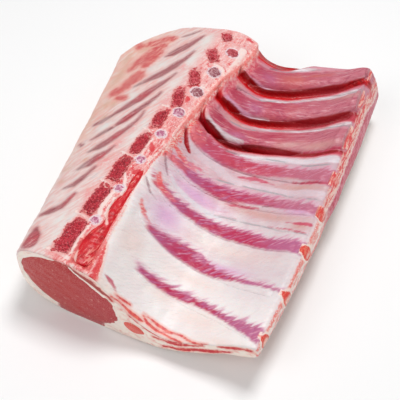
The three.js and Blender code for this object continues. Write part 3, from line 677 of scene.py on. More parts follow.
def skin_relief(x, y, at):
    """How far the upper skin stands off the plain form at x, y: hollows beside the last ribs, seats
    under the ribs, the bones and the red strip, folds, a ridge at the border of the rib side, and
    soft unevenness."""
    relief = swell(x, y) + 0.1 * ripple(x, y, 7, 4)
    relief -= HOLLOW_DEPTH * smooth(at["hollow"], -0.6, 1.8) * (1 - smooth(at["floor"], 0.2, 1.15))
    relief -= SLIT_DEPTH * (1 - smooth(at["slit"], -0.8, 0.7))
    relief -= FOLD_DEPTH * at["fold"] + 0.3 * np.exp(-((at["nick"] / 0.8) ** 2))
    relief += 0.35 * np.exp(-(((at["border"] + 0.7) / 1.1) ** 2)) * smooth(y, 10, 40)
    relief += 0.3 * np.exp(-((at["cream"] / 0.8) ** 2)) * (at["border"] < 0)
    inner = (1 - smooth(y, far_cut(x) - 7, far_cut(x) - 2)) * (1 - smooth(x, 61, 65))
    for rib in RIBS:
        middle = rib_y(rib, np.maximum(x, rib["left"]))
        slope = rib["slope"] + 2 * rib["bend"] * x
        off = np.abs(y - middle) / np.hypot(1, slope) - rib_half_width(rib, x)
        off = np.maximum(off, rib["left"] - x + 1.5)
        relief -= RIB_SEAT * (1 - smooth(off, -2.6, -0.8)) * inner
    relief -= BONE_SEAT * (1 - smooth(at["bone"], -0.9, 0.1)) + 0.3 * np.exp(-((at["bone"] / 0.9) ** 2))
    relief -= JOINT_SEAT * (1 - smooth(at["ring"], -0.9, -0.1))
    relief -= STRIP_SEAT * (1 - smooth(at["strip"], -0.9, 0.1))
    relief -= BLADE_SEAT * (1 - smooth(at["blade"], -1.6, 0.4))
    return relief


# ------------------------------------------------------------------ meshes


def lay_mesh(name, points, faces, fields, slots=None):
    """A smooth-shaded mesh piece from points in mm, faces as index arrays, values on the points, and
    a material number for each face."""
    mesh = bpy.data.meshes.new(name)
    flat = (points.reshape(-1, 3) + PART_SHIFT) * MM
    loops = np.concatenate([f.ravel() for f in faces]).astype(np.int32)
    sizes = np.concatenate([np.full(len(f), f.shape[1], np.int32) for f in faces])
    mesh.vertices.add(len(flat))
    mesh.vertices.foreach_set("co", flat.ravel())
    mesh.loops.add(len(loops))
    mesh.loops.foreach_set("vertex_index", loops)
    mesh.polygons.add(len(sizes))
    mesh.polygons.foreach_set("loop_start", (np.cumsum(sizes) - sizes).astype(np.int32))
    if slots is not None:
        mesh.polygons.foreach_set("material_index", slots.astype(np.int32))
    mesh.polygons.foreach_set("use_smooth", np.ones(len(sizes), bool))
    for key, values in fields.items():
        attribute = mesh.attributes.new(key, "FLOAT", "POINT")
        attribute.data.foreach_set("value", values.ravel().astype(np.float32))
    mesh.update(calc_edges=True)
    mesh.validate()
    piece = bpy.data.objects.new(name, mesh)
    bpy.context.scene.collection.objects.link(piece)
    return piece


def grid_faces(rows, columns):
    """Quads of a grid of points, with the last column joined to the first."""
    i = np.arange(rows - 1)[:, None] * columns
    j = np.arange(columns)[None, :]
    k = (j + 1) % columns
    return np.stack([i + j, i + k, i + columns + k, i + columns + j], -1).reshape(-1, 4)


def tube_piece(name, rings, fields, reverse=False):
    """A closed tube from rings [row, column, xyz], each end closed by a fan round its middle. Rings
    that run the wrong way round are reversed, so that the faces point out."""
    rows, columns = rings.shape[:2]
    order = slice(None, None, -1 if reverse else 1)
    hubs = rings[[0, -1]].mean(1)
    points = np.concatenate([rings[:, order].reshape(-1, 3), hubs])
    j = np.arange(columns)
    k = (j + 1) % columns
    last = (rows - 1) * columns
    fans = np.concatenate([
        np.stack([k, j, np.full(columns, rows * columns)], -1),
        np.stack([last + j, last + k, np.full(columns, rows * columns + 1)], -1),
    ])
    values = {}
    for key, field in fields.items():
        field = np.broadcast_to(field, (rows, columns))[:, order]
        values[key] = np.concatenate([field.ravel(), field[[0, -1]].mean(1)])
    return lay_mesh(name, points, [grid_faces(rows, columns), fans], values)


# ------------------------------------------------------------------ the meat

# Streaks of meat on the cut faces, each a run of [x, z, half width] points.
CUT_STREAKS = [
    [(-32, 46, 0.3), (-26.5, 43.1, 1.2), (-20.5, 39.8, 1.7), (-15, 36.2, 1.5), (-10.5, 33, 0.9),
     (-7.2, 29.4, 0.3)],
    [(-44, 46, 0.3), (-38, 46.3, 0.6), (-33, 46.2, 0.3)],
    [(2, 23, 0.3), (6, 19.5, 0.9), (10, 17, 0.5)],
    [(10, 16.6, 0.3), (17, 14.4, 0.6), (25, 13.4, 0.5), (34, 15.4, 0.3)],
    [(15, 11.5, 0.3), (22, 11.2, 0.6), (31, 13, 0.5), (42, 17, 0.3)],
    [(20, 5.8, 0.3), (32, 9.4, 1.0), (45, 13.6, 0.9), (56, 18, 0.4)],
    [(50, 20, 0.3), (58, 22.6, 0.8), (66, 25, 0.6)],
]
TOP_COLUMNS = 200
SAWN_COLUMNS = 24
UNDER_COLUMNS = 50
BODY_ROWS = 236
CUT_RINGS = 44
CUT_ROUNDING = 1.1  # radius of the edge round a cut face
RIB_SIDE, SPLIT_FACE, FAT_SIDE, CUT_FACE = range(4)  # stretches of the meat, each with its finish


def body_stations():
    """Places round the cross-section, evenly spaced in each of its three stretches."""
    fine = np.linspace(0, POINTS, POINTS * 64 + 1)
    path = loop_point(fine % POINTS, 0.5)
    walked = np.concatenate([[0], np.cumsum(np.linalg.norm(np.diff(path, axis=0), axis=1))])
    corners = np.interp([0, TOP_END, SAWN_END, POINTS], fine, walked)
    stations = []
    for start, end, count in zip(corners, corners[1:], (TOP_COLUMNS, SAWN_COLUMNS, UNDER_COLUMNS)):
        stations.append(np.interp(np.linspace(start, end, count, endpoint=False), walked, fine))
    return np.concatenate(stations)


def outline_distance(x, z, outline):
    """Distance in mm from a closed outline, below 0 inside it."""
    ax, az = outline.T
    bx, bz = np.roll(outline, -1, axis=0).T
    px, pz = x[..., None], z[..., None]
    dx, dz = bx - ax, bz - az
    t = np.clip(((px - ax) * dx + (pz - az) * dz) / (dx**2 + dz**2), 0, 1)
    away = np.hypot(px - ax - dx * t, pz - az - dz * t).min(-1)
    crossed = (az > pz) != (bz > pz)
    hits = crossed & (px < dx * (pz - az) / np.where(dz == 0, 1e-9, dz) + ax)
    return np.where(hits.sum(-1) % 2 == 1, -away, away)


def muscle_outline(muscle, w, count=120):
    """The outline of a muscle at w: a closed Catmull-Rom curve through its points, moved aside on
    the way from cut to cut and lowered just past the loin-end cut."""
    points = muscle["points"]
    t = np.arange(count) * len(points) / count
    k = t.astype(int)
    around = [points[(k + o) % len(points)] for o in (-1, 0, 1, 2)]
    x, z = catmull(*around, (t - k)[:, None]).T
    return np.stack([x + muscle["shift"] * w, z * (1 + (muscle["drop"] - 1) * smooth(w, 0, 0.05))], -1)


def meat_body():
    """The meat and fat as one closed grid: rings round the section from cut to cut, and over each cut
    face rings that shrink towards the middle line between its upper and lower edge. A zip of
    triangles closes the last ring on each side."""
    s = body_stations()
    near_rows = np.array([0, 0.25, 0.6, 1.1, 1.8]) / LENGTH
    inner_rows = np.linspace(2.7 / LENGTH, 1 - 2.7 / LENGTH, BODY_ROWS)
    w = np.concatenate([near_rows, inner_rows, 1 - near_rows[::-1]])
    base = form(s[None, :], w[:, None])
    along_s = np.roll(base, -1, axis=1) - np.roll(base, 1, axis=1)
    normal = np.cross(along_s, np.gradient(base, axis=0))
    normal /= np.maximum(np.linalg.norm(normal, axis=-1, keepdims=True), 1e-9)

    x, y, z = np.moveaxis(base, -1, 0)
    at = skin_fields(x, y)
    upper = smooth(s, 0.4, 1.4) * (1 - smooth(s, 10.6, 11))
    relief = skin_relief(x, y, at) * upper[None, :]
    rough = 0.12 * ripple(y, z * 2.3 + x, 5, 7) + 0.3 * ripple(y, x + z, 30, 8)
    relief += rough * (1 - upper)[None, :] * smooth(z, 0.2, 3)
    from_cut = np.minimum(w, 1 - w)[:, None] * (far_cut(x) - near_cut(x))
    over_edge = np.clip(1 - from_cut / CUT_ROUNDING, 0, 1)
    relief -= CUT_ROUNDING * (1 - np.sqrt(1 - over_edge**2)) * 0.8
    skin = base + normal * relief[..., None]
    skin[..., 2] = np.maximum(skin[..., 2], 0)

    near_cap = cap_rings(skin[0], near_cut, -1)[::-1]
    far_cap = cap_rings(skin[-1], far_cut, 1)
    grid = np.concatenate([near_cap, skin, far_cap])
    rows, columns = grid.shape[:2]
    fills = [zip_ring(grid[0, :, 0])[:, ::-1], zip_ring(grid[-1, :, 0]) + (rows - 1) * columns]

    skin_part = np.where(s < SAWN_END, np.where(at["border"] < 0, SPLIT_FACE, RIB_SIDE), FAT_SIDE)
    part = np.full((rows - 1, columns), CUT_FACE)
    part[CUT_RINGS:-CUT_RINGS] = skin_part[:-1]
    fill_part = np.full(sum(map(len, fills)), CUT_FACE)

    fields = {key: np.pad(value, ((CUT_RINGS, CUT_RINGS), (0, 0)), "edge") for key, value in at.items()}
    fields["layer"] = np.tile(np.clip(s - TOP_END, 0, 1), (rows, 1))
    fields["turn"] = np.tile(np.clip(s, 0, 3), (rows, 1))
    fields["tip"] = rib_tip_field(grid)
    fields["eye"] = eye_field(grid)
    fields["meat_line"] = stroke_field(grid[..., 0], grid[..., 2], CUT_STREAKS)
    faces = [grid_faces(rows, columns), *fills]
    return lay_mesh("meat", grid, faces, fields, np.concatenate([part.ravel(), fill_part]))


def cap_rings(edge, cut, outward):
    """Rings over a cut face, from its edge to the middle line between its upper and lower edge."""
    x, y, z = edge.T
    share = (1 - (1 - np.linspace(0, 0.975, CUT_RINGS + 1)[1:]) ** 1.15)[:, None]
    around = np.arange(-7, 8)[:, None] + np.arange(len(x))
    middle_x = np.clip(x[around % len(x)].mean(0), x.min() + 9, x.max() - 7)
    middle_z = sum(np.interp(middle_x, *line) for line in loop_edges(x, z)) / 2
    ring_x = x + (middle_x - x) * share
    ring_z = z + (middle_z - z) * share
    flat = cut(ring_x) + outward * cut_relief(ring_x, ring_z, max(outward, 0))
    blend = smooth(share, 0, 0.06)
    return np.stack([ring_x, y * (1 - blend) + flat * blend, ring_z], -1)


def loop_edges(x, z):
    """The upper and the lower edge of a cut face as (x, z) with x rising."""
    count, right, left = len(x), int(np.argmax(x)), int(np.argmin(x))
    upper = np.arange(left, right + 1 + (count if left > right else 0)) % count
    lower = np.arange(left + count, right - 1, -1) % count
    lines = (upper, lower)
    return [(np.maximum.accumulate(x[line]) + np.arange(len(line)) * 1e-6, z[line]) for line in lines]


def zip_ring(x):
    """Triangles that close a long thin ring: from its lowest to its highest X they step along its two
    sides in turn, always on the side that lags behind."""
    count, low, high = len(x), int(np.argmin(x)), int(np.argmax(x))
    upper = [(low + k) % count for k in range((high - low) % count + 1)]
    lower = [(low - k) % count for k in range((low - high) % count + 1)]
    triangles = []
    i = j = 0
    while i < len(upper) - 1 or j < len(lower) - 1:
        ahead = i == len(upper) - 1 or (j < len(lower) - 1 and x[lower[j + 1]] < x[upper[i + 1]])
        corner = lower[j + 1] if ahead else upper[i + 1]
        triangles.append((upper[i], corner, lower[j]))
        i, j = (i, j + 1) if ahead else (i + 1, j)
    return np.array([t for t in triangles if len(set(t)) == 3])


def cut_relief(x, z, w):
    """How far a cut face stands out: a soft bulge of meat, and pockets behind the two muscles."""
    out = 0.25 * ripple(x, z, 14, 11) + 0.1 * ripple(x, z, 4, 12)
    for muscle in (EYE, SIDE_MUSCLE):
        away = outline_distance(x, z, muscle_outline(muscle, w))
        out = out - MUSCLE_SEAT * (1 - smooth(away, -2.4, -1.0)) - 0.35 * np.exp(-((away / 0.9) ** 2))
    return out


def rib_tip_field(grid):
    """Distance from the nearest sawn rib end, counted in half widths of that rib: its middle lies
    where the rib's middle line meets the sawn edge."""
    x, y, z = np.moveaxis(grid, -1, 0)
    back = np.maximum(sawn_edge(y, z)[1] - x, 0) / 3
    nearest = np.full(x.shape, 20.0)
    for rib in RIBS:
        end_y = min(rib_y(rib, RIB_TIP_X), 127.0)
        top = long_top_height(np.array([RIB_TIP_X]), np.array([end_y]))[0]
        end_z = top + rib["proud"] - RIB_THICKNESS / 2
        across = (y - end_y) / (rib_half_width(rib, RIB_TIP_X) * 0.95)
        nearest = np.minimum(nearest, np.sqrt(across**2 + ((z - end_z) / 4.0) ** 2 + back**2))
    return nearest


def eye_field(grid):
    """Distance in mm from the outline of the nearest muscle on the cut faces."""
    values = []
    for w, part in enumerate(np.split(grid, [len(grid) // 2])):
        x, z = part[..., 0], part[..., 2]
        eye = outline_distance(x, z, muscle_outline(EYE, w, 48))
        side = outline_distance(x, z, muscle_outline(SIDE_MUSCLE, w, 30))
        values.append(np.clip(np.minimum(eye, side), -5, 30))
    return np.concatenate(values)


def muscle_piece(name, muscle, bulge, columns, end_rings):
    """A muscle that runs from cut to cut. Its cut ends swell out in the middle and sink at the rim:
    rings that shrink to a point, raised by the bulge times 1 - r^2. Field rim: r, 1 along its side."""
    w = np.array([0, 0.004, 0.01, 0.02, 0.035, 0.06, 0.15, 0.3, 0.45, 0.6, 0.75, 0.88, 0.96, 0.99, 0.996, 1])
    outlines = np.stack([muscle_outline(muscle, at, columns) for at in w])
    x, z = outlines[..., 0], outlines[..., 1]
    tube = np.stack([x, between_cuts(x, w[:, None]), z], -1)
    r = np.linspace(1, 0, end_rings + 1)[1:, None] ** 0.9
    r[-1] = 0.012

    def cut_end(edge, cut, outward):
        rings = edge.mean(0) + (edge - edge.mean(0)) * r[..., None]
        ring_x, ring_z = rings[..., 0], rings[..., 2]
        swollen = bulge * (1 - r**2) - 0.7 * r**8 + 0.12 * ripple(ring_x, ring_z, 6, 21)
        rings[..., 1] = cut(ring_x) + outward * swollen
        return rings

    near = cut_end(tube[0], near_cut, -1)[::-1]
    far = cut_end(tube[-1], far_cut, 1)
    tube[0, :, 1] += 0.7
    tube[-1, :, 1] -= 0.7
    rim = np.concatenate([r[::-1], np.ones((len(w), 1)), r])
    return tube_piece(name, np.concatenate([near, tube, far]), {"rim": rim})


# ------------------------------------------------------------------ ribs and bones in the upper side

RIB_ROWS = 150
RIB_TOP_COLUMNS = 44
RIB_UNDER_COLUMNS = 12
RIB_END_RINGS = 9
RIB_END_X = 66.5
SAWN_COVER = 0.3  # how far a rib's end lies behind the sawn edge


def sawn_corner(s, y):
    """x and z of a corner of the sawn edge at y: s is TOP_END for the upper one, SAWN_END for its foot."""
    w = np.clip((y - near_cut(EDGE_X)) / (far_cut(EDGE_X) - near_cut(EDGE_X)), 0, 1)
    return np.moveaxis(loop_point(float(s), w), -1, 0)


def sawn_edge(y, z):
    """At y and height z, the share of the way down the sawn edge and its X there: a slightly bowed
    line between its two corners."""
    (top_x, top_z), (foot_x, foot_z) = sawn_corner(TOP_END, y), sawn_corner(SAWN_END, y)
    t = (top_z - z) / (top_z - foot_z)
    inside = np.clip(t, 0, 1)
    return inside, top_x + (foot_x - top_x) * t + 0.6 * np.sin(np.pi * inside)


def rib_piece(number, rib):
    """A rib as a section carried along its middle line. The section is a superellipse: its loin-side
    edge drops steeply, its back falls gently to the shoulder side, and its belly is sunk in the meat.
    It stays square to the line beside the spine and turns parallel to the sawn edge at its tip. Near
    the sawn edge and the shoulder-end cut it sinks under the skin, and its end lies just inside."""
    run = np.linspace(0, 1, RIB_ROWS) ** 1.15
    x = rib["left"] + (RIB_END_X - rib["left"]) * run
    y = rib_y(rib, x)
    direction = np.stack([np.ones_like(x), np.gradient(y, x)], -1)
    direction /= np.linalg.norm(direction, axis=1, keepdims=True)
    square = np.stack([-direction[:, 1], direction[:, 0]], -1)
    skewed = np.stack([np.zeros_like(x), 1 / np.maximum(direction[:, 0], 0.3)], -1)
    turned = smooth(x, 34, 62)[:, None]
    side = square * (1 - turned) + skewed * turned
    walked = np.concatenate([[0], np.cumsum(np.hypot(np.diff(x), np.diff(y)))])
    ends = np.sqrt(1 - (1 - np.clip((walked + 0.15) / RIB_ROUNDING, 0, 1)) ** 2)[:, None]
    half = rib_half_width(rib, x)[:, None] * ends

    upper = np.linspace(0, np.pi, RIB_TOP_COLUMNS, endpoint=False)
    under = np.linspace(np.pi, 2 * np.pi, RIB_UNDER_COLUMNS, endpoint=False)
    angle = np.concatenate([upper, under])[None, :]
    c, s = np.cos(angle), np.sin(angle)
    across = -squared(c, 0.75)  # from -1 at the loin side
    sunk = -rib["drop"] + (rib["drop"] - 0.7) * smooth(across, -1, 0.3)
    back = rib["proud"] * (1 - smooth(across, -0.55, 1.15))
    over = sunk + (back - sunk) * np.abs(s) ** 0.55
    below = sunk - (RIB_THICKNESS - 2.5) * np.abs(s) ** 0.6
    height = np.where(s > 0, over, below) * ends - (1 - ends) * 0.8
    px = x[:, None] + side[:, :1] * across * half
    py = y[:, None] + side[:, 1:] * across * half
    py = np.minimum(py, far_cut(px) - 1.4)
    uneven = swell(px, py) + 0.1 * ripple(px, py, 7, 4) + 0.1 * ripple(px, py * 2.4, 5, 30 + number)
    at_cut = smooth(py, far_cut(px) - 7, far_cut(px) - 1)
    sink = at_cut * (1.2 * smooth(px, -5, 12) + 2.6 * smooth(px, 36, 56)) + 1.8 * smooth(px, 61, 66)
    rings = on_top(px, py, height + uneven * np.clip(s, 0, 1) ** 0.5 - sink, long_top_height)

    edge = rings[-1]
    shift = sawn_edge(edge[:, 1], edge[:, 2])[1] - SAWN_COVER - edge[:, 0]
    rings[..., 0] += shift[None, :] * smooth(run, 0.9, 1.0)[:, None]
    share = np.linspace(1, 0.04, RIB_END_RINGS + 1)[1:, None]
    middle = edge.mean(0)
    end_rings = middle + (edge - middle) * share[..., None]
    end_x = sawn_edge(end_rings[..., 1], end_rings[..., 2])[1]
    end_rings[..., 0] = end_x - SAWN_COVER + 0.15 * (1 - share**2)
    rings = np.concatenate([rings, end_rings])
    fields = skin_fields(rings[..., 0], rings[..., 1])
    fields["tip"] = rib_tip_field(rings)
    fields["layer"] = sawn_edge(rings[..., 1], rings[..., 2])[0]
    return tube_piece(f"rib_bone_{number}", rings, fields, reverse=True)


def plug_piece(name, block, seed, depth, dome, rough, power, uneven, rings=26, columns=84):
    """A sawn bone end set in the split face: rings out from its middle over a slightly uneven top,
    round a soft edge, down its side and in again underneath. Power 1 makes it an oval and a lower
    power squares it. Field rim: the share of the way out from the middle."""
    top = np.linspace(0.015, 1, rings) ** 0.85
    share = np.concatenate([top, [1.0, 1.0, 1.0, 0.9, 0.5, 0.02]])[:, None]
    level = np.concatenate([np.zeros(rings), [-0.35, -1.4, -depth + 0.4, -depth, -depth, -depth]])
    upside = (np.arange(len(share)) < rings)[:, None]
    theta = np.linspace(0, 2 * np.pi, columns, endpoint=False)[None, :]
    u = squared(np.cos(theta), power) * share
    v = squared(np.sin(theta), power) * share
    width, length = block["size"]
    across = u * width / 2 * waist(block, v, u > 0)
    along = v * length / 2
    turn = math.radians(block["turn"])
    at_x, at_y = block["at"]
    x = at_x + across * math.cos(turn) - along * math.sin(turn)
    y = at_y + across * math.sin(turn) + along * math.cos(turn)
    wobble = 1 + uneven * ripple(x, y, 5, seed)
    x, y = at_x + (x - at_x) * wobble, at_y + (y - at_y) * wobble
    grain = ripple(x, y, 1.7, seed + 1) * rough
    rise = level[:, None] + upside * (dome * (1 - share**2) + grain - 0.25 * smooth(share, 0.82, 1.0))
    return tube_piece(name, on_top(x, y, rise + swell(x, y) * upside), {"rim": share}, reverse=True)


def strip_piece(name, path, half, proud, depth, seed, columns):
    """A strip laid in the upper side along a path of [x, y] points: a flat superellipse section with
    its upper edges rounded off."""
    direction = np.gradient(path, axis=0)
    direction /= np.linalg.norm(direction, axis=1, keepdims=True)
    side = np.stack([-direction[:, 1], direction[:, 0]], -1)
    angle = np.linspace(0, 2 * np.pi, columns, endpoint=False)[None, :]
    c, s = np.cos(angle), np.sin(angle)
    upside = np.clip(s, 0, 1)
    half = half[:, None]
    across = squared(c, 0.8) * half
    x = path[:, :1] + side[:, :1] * across
    y = path[:, 1:] + side[:, 1:] * across
    taper = (half / half.max()) ** 0.5
    height = np.where(s > 0, proud, -depth) * np.abs(s) ** 0.7 * taper - 0.35
    height = height + (swell(x, y) + 0.12 * ripple(x, y, 4, seed)) * upside
    height = height - proud * 0.55 * smooth(np.abs(across) / half, 0.4, 1) * upside
    return tube_piece(name, on_top(x, y, height), skin_fields(x, y))


def feather_piece(number, ends):
    """A feather bone: a thin bowed blade lying in the split face between its two ends."""
    t = np.linspace(0, 1, 70)
    outer, inner = ends
    path = outer + (inner - outer) * t[:, None]
    half = 1.8 * (0.12 + 0.88 * np.sqrt(np.sin(np.pi * np.clip(t, 0.001, 0.999))))
    return strip_piece(f"blade_{number}", path, half, 0.45, 3.2, 60 + number, 24)


def red_strip():
    """The red strip of muscle along the spine, round at both ends."""
    y = np.linspace(STRIP_START, STRIP_STOP, 170)
    x, half = chine_strip(y)
    from_end = (np.minimum(y - STRIP_START, STRIP_STOP - y) + 0.2) / 4
    ends = np.sqrt(np.clip(1 - (1 - np.clip(from_end, 0, 1)) ** 2, 0.02, 1))
    return strip_piece("red_strip", np.stack([x, y], -1), half * ends, 0.95, 3.0, 77, 40)


# ------------------------------------------------------------------ finishes


def tint(code):
    """A colour from its six-digit code, in the linear light that shaders use."""
    channels = [int(code[i:i + 2], 16) / 255 for i in (1, 3, 5)]
    linear = [c / 12.92 if c <= 0.04045 else ((c + 0.055) / 1.055) ** 2.4 for c in channels]
    return (*linear, 1.0)


class Value:
    """An output socket of a material; + - and * on it add Math nodes."""

    def __init__(self, finish, socket):
        self.finish = finish
        self.socket = socket

    def math(self, operation, first, second):
        return self.finish.node("Math", {"operation": operation}, {0: first, 1: second})

    def __add__(self, other):
        return self.math("ADD", self, other)

    def __sub__(self, other):
        return self.math("SUBTRACT", self, other)

    def __rsub__(self, other):
        return self.math("SUBTRACT", other, self)

    def __mul__(self, other):
        return self.math("MULTIPLY", self, other)

    __radd__ = __add__
    __rmul__ = __mul__


class Finish:
    """A node material under construction. Colours are six-digit codes or colour sockets."""

    def __init__(self, name):
        self.material = bpy.data.materials.new(name)
        self.material.use_nodes = True
        self.tree = self.material.node_tree
        self.tree.nodes.clear()
        self.place = self.node("TexCoord", output="Object")

    def node(self, kind, settings=None, inputs=None, output=0):
        made = self.tree.nodes.new("ShaderNode" + kind)
        for key, setting in (settings or {}).items():
            setattr(made, key, setting)
        for key, given in (inputs or {}).items():
            if isinstance(given, Value):
                self.tree.links.new(given.socket, made.inputs[key])
            else:
                made.inputs[key].default_value = tint(given) if isinstance(given, str) else given
        return Value(self, made.outputs[output]) if made.outputs else None

    def axis(self, name):
        """X, Y or Z in mm, in the axes used here."""
        metres = self.node("SeparateXYZ", None, {"Vector": self.place}, output=name)
        return metres * 1000 - PART_SHIFT["XYZ".index(name)]

    def field(self, name):
        return self.node("Attribute", {"attribute_name": name}, output="Fac")

    def noise(self, size, detail=3.0, roughness=0.55, twist=0.0, place=None):
        """Noise from 0 to 1 with features of about size mm."""
        return self.node("TexNoise", None, {
            "Vector": place or self.place, "Scale": 1 / (size * MM), "Detail": detail,
            "Roughness": roughness, "Distortion": twist,
        })

    def grain(self, turn, stretch, size, detail=3.0, twist=0.0):
        """Noise drawn out into strokes: turn in degrees from the X axis, stretch times as long. It
        changes slowly with height, so that strokes keep their form on a slope."""
        mapped = self.node("Mapping", {"vector_type": "TEXTURE"}, {
            "Vector": self.place, "Rotation": (0, 0, math.radians(turn)), "Scale": (stretch, 1, 4),
        })
        return self.noise(size, detail, 0.55, twist, mapped)

    def step(self, value, low, high):
        """0 below low and 1 above high, smoothly; low may be the greater."""
        if low > high:
            return 1 - self.step(value, high, low)
        inputs = {"Value": value, "From Min": low, "From Max": high}
        return self.node("MapRange", {"interpolation_type": "SMOOTHSTEP"}, inputs)

    def mix(self, first, second, share):
        """The first colour turned into the second by share."""
        return self.node("Mix", {"data_type": "RGBA"}, {0: share, 6: first, 7: second}, output=2)

    def paint(self, ground, *coats):
        """The ground under coats laid one over another, each a colour and how much of it shows."""
        for colour, share in coats:
            ground = self.mix(ground, colour, share)
        return ground

    def surface(self, colour, roughness, height, depth, wet):
        """Ends the material: a moist, slightly see-through surface, embossed depth mm by height."""
        normal = self.node("Bump", None, {"Height": height, "Strength": 1.0, "Distance": depth * MM})
        shader = self.node("BsdfPrincipled", None, {
            "Base Color": colour,
            "Roughness": roughness,
            "Normal": normal,
            "Coat Weight": wet,
            "Coat Roughness": 0.22,
            "Coat IOR": 1.3,
            "Specular IOR Level": 0.25,
            "Subsurface Weight": 0.12,
            "Subsurface Scale": 1.5 * MM,
            "Subsurface Radius": (1.0, 0.45, 0.35),
        })
        self.node("OutputMaterial", None, {"Surface": shader})
        return self.material


CREAM = "#F8E2D8"
FAT_BEIGE = "#D3A29C"
CRIMSON = "#BC2E56"
MAUVE = "#B8648E"
HOLLOW_PINK = "#D0505E"
SPLIT_PINK = "#E5B9B5"


def border_paint(f, colour, y, small, speck):
    """The border between the spine and the rib side: towards the shoulder end a thin orange-red
    ridge, and towards the loin end only ragged coral flecks."""
    border = f.field("border") + (small - 0.5) * 1.6
    far = f.step(y, 18, 44)
    ridge = f.step(border, -1.9, -0.9) * f.step(border, 0.7, 0.1) * f.step(speck + far * 0.2, 0.44, 0.6)
    flesh = f.mix("#F4807C", "#FFDCD2", f.step(small * 0.5 + speck * 0.5, 0.44, 0.56))
    pale = f.step(border, 0.2, 0.7) * f.step(border, 1.8, 1.0) * (1 - far)
    return f.paint(
        colour,
        (flesh, f.step(border, -5, -1.5) * f.step(border, 2.6, 0.8) * far * 0.75),
        ("#F0645C", ridge * 0.55),
        (CREAM, pale * f.step(small, 0.42, 0.56) * 0.7),
    )


def edge_paint(f, colour, y, small, fine):
    """The sawn edge. Towards the loin end: creamy fat with pink lines and coral crescents at the rib
    ends. Towards the shoulder end: a coral and cream net, a thin cream line and a rose layer. A pale
    line along the foot is a painted highlight."""
    run = f.node("Mapping", None, {"Vector": f.place, "Scale": (1, 0.2, 1), "Rotation": (0.12, 0, 0)})
    lines = f.noise(1.3, 2, 0.6, 0.4, run)
    edge, layer, tip = f.field("edge"), f.field("layer"), f.field("tip") + 0.1
    level = layer - f.step(y, 100, 124) * 0.2 - 0.22 + (small - 0.5) * 0.16
    end = tip + (small - 0.5) * 0.5

    crescent = f.paint(
        "#E4483F",
        ("#EC7A66", f.step(lines * 0.5 + fine * 0.5, 0.47, 0.56)),
        ("#F6CDBE", f.step(end, 0.85, 0.5) * f.step(level, 0.1, 0.26) * 0.85),
    )
    fat = f.paint(
        "#F8E6DE",
        ("#F0A8A0", f.step(lines, 0.46, 0.6)),
        ("#EC7068", f.step(level, 0.16, 0.06) * f.step(fine, 0.36, 0.5) * 0.8),
        ("#EC7A78", f.step(level, 0.3, 0.44) * f.step(level, 0.64, 0.54) * 0.85),
        (CREAM, f.step(end, 1.5, 1.15)),
        (crescent, f.step(end, 1.04, 0.9)),
    )
    net = f.paint(
        "#E2565A",
        ("#F4CDBF", f.step(lines * 0.7 + fine * 0.3, 0.45, 0.58)),
        ("#DE4A4C", f.step(end, 1.0, 0.6) * 0.5),
    )
    rose = f.mix("#C83E58", "#DA7084", f.step(lines * 0.6 + small * 0.4, 0.45, 0.6))
    deep = f.paint(
        net,
        ("#F4D2CC", f.step(level, 0.1, 0.15) * f.step(fine, 0.36, 0.46)),
        (rose, f.step(level, 0.17, 0.24)),
    )
    far = f.step(y + (small - 0.5) * 24, 0, 26)
    # The near-white line along the foot is a painted highlight.
    sawn = f.paint(fat, (deep, far), ("#FAEEEA", f.step(layer, 0.84, 0.93)))
    reach = f.step(edge, 1, 0) * f.step(level, -0.1, 0.02)
    strip = f.step(edge + (small - 0.5) * 2.4, 1.4, -0.2) * f.step(level, -0.2, -0.1) * f.step(tip, 1.05, 1.5)
    return f.paint(
        colour,
        (f.mix("#EFDCDC", net, far), strip * 0.7),
        (sawn, f.step(reach + f.step(edge, 1, 0) * f.step(end, 1.2, 1), 0, 1)),
    )


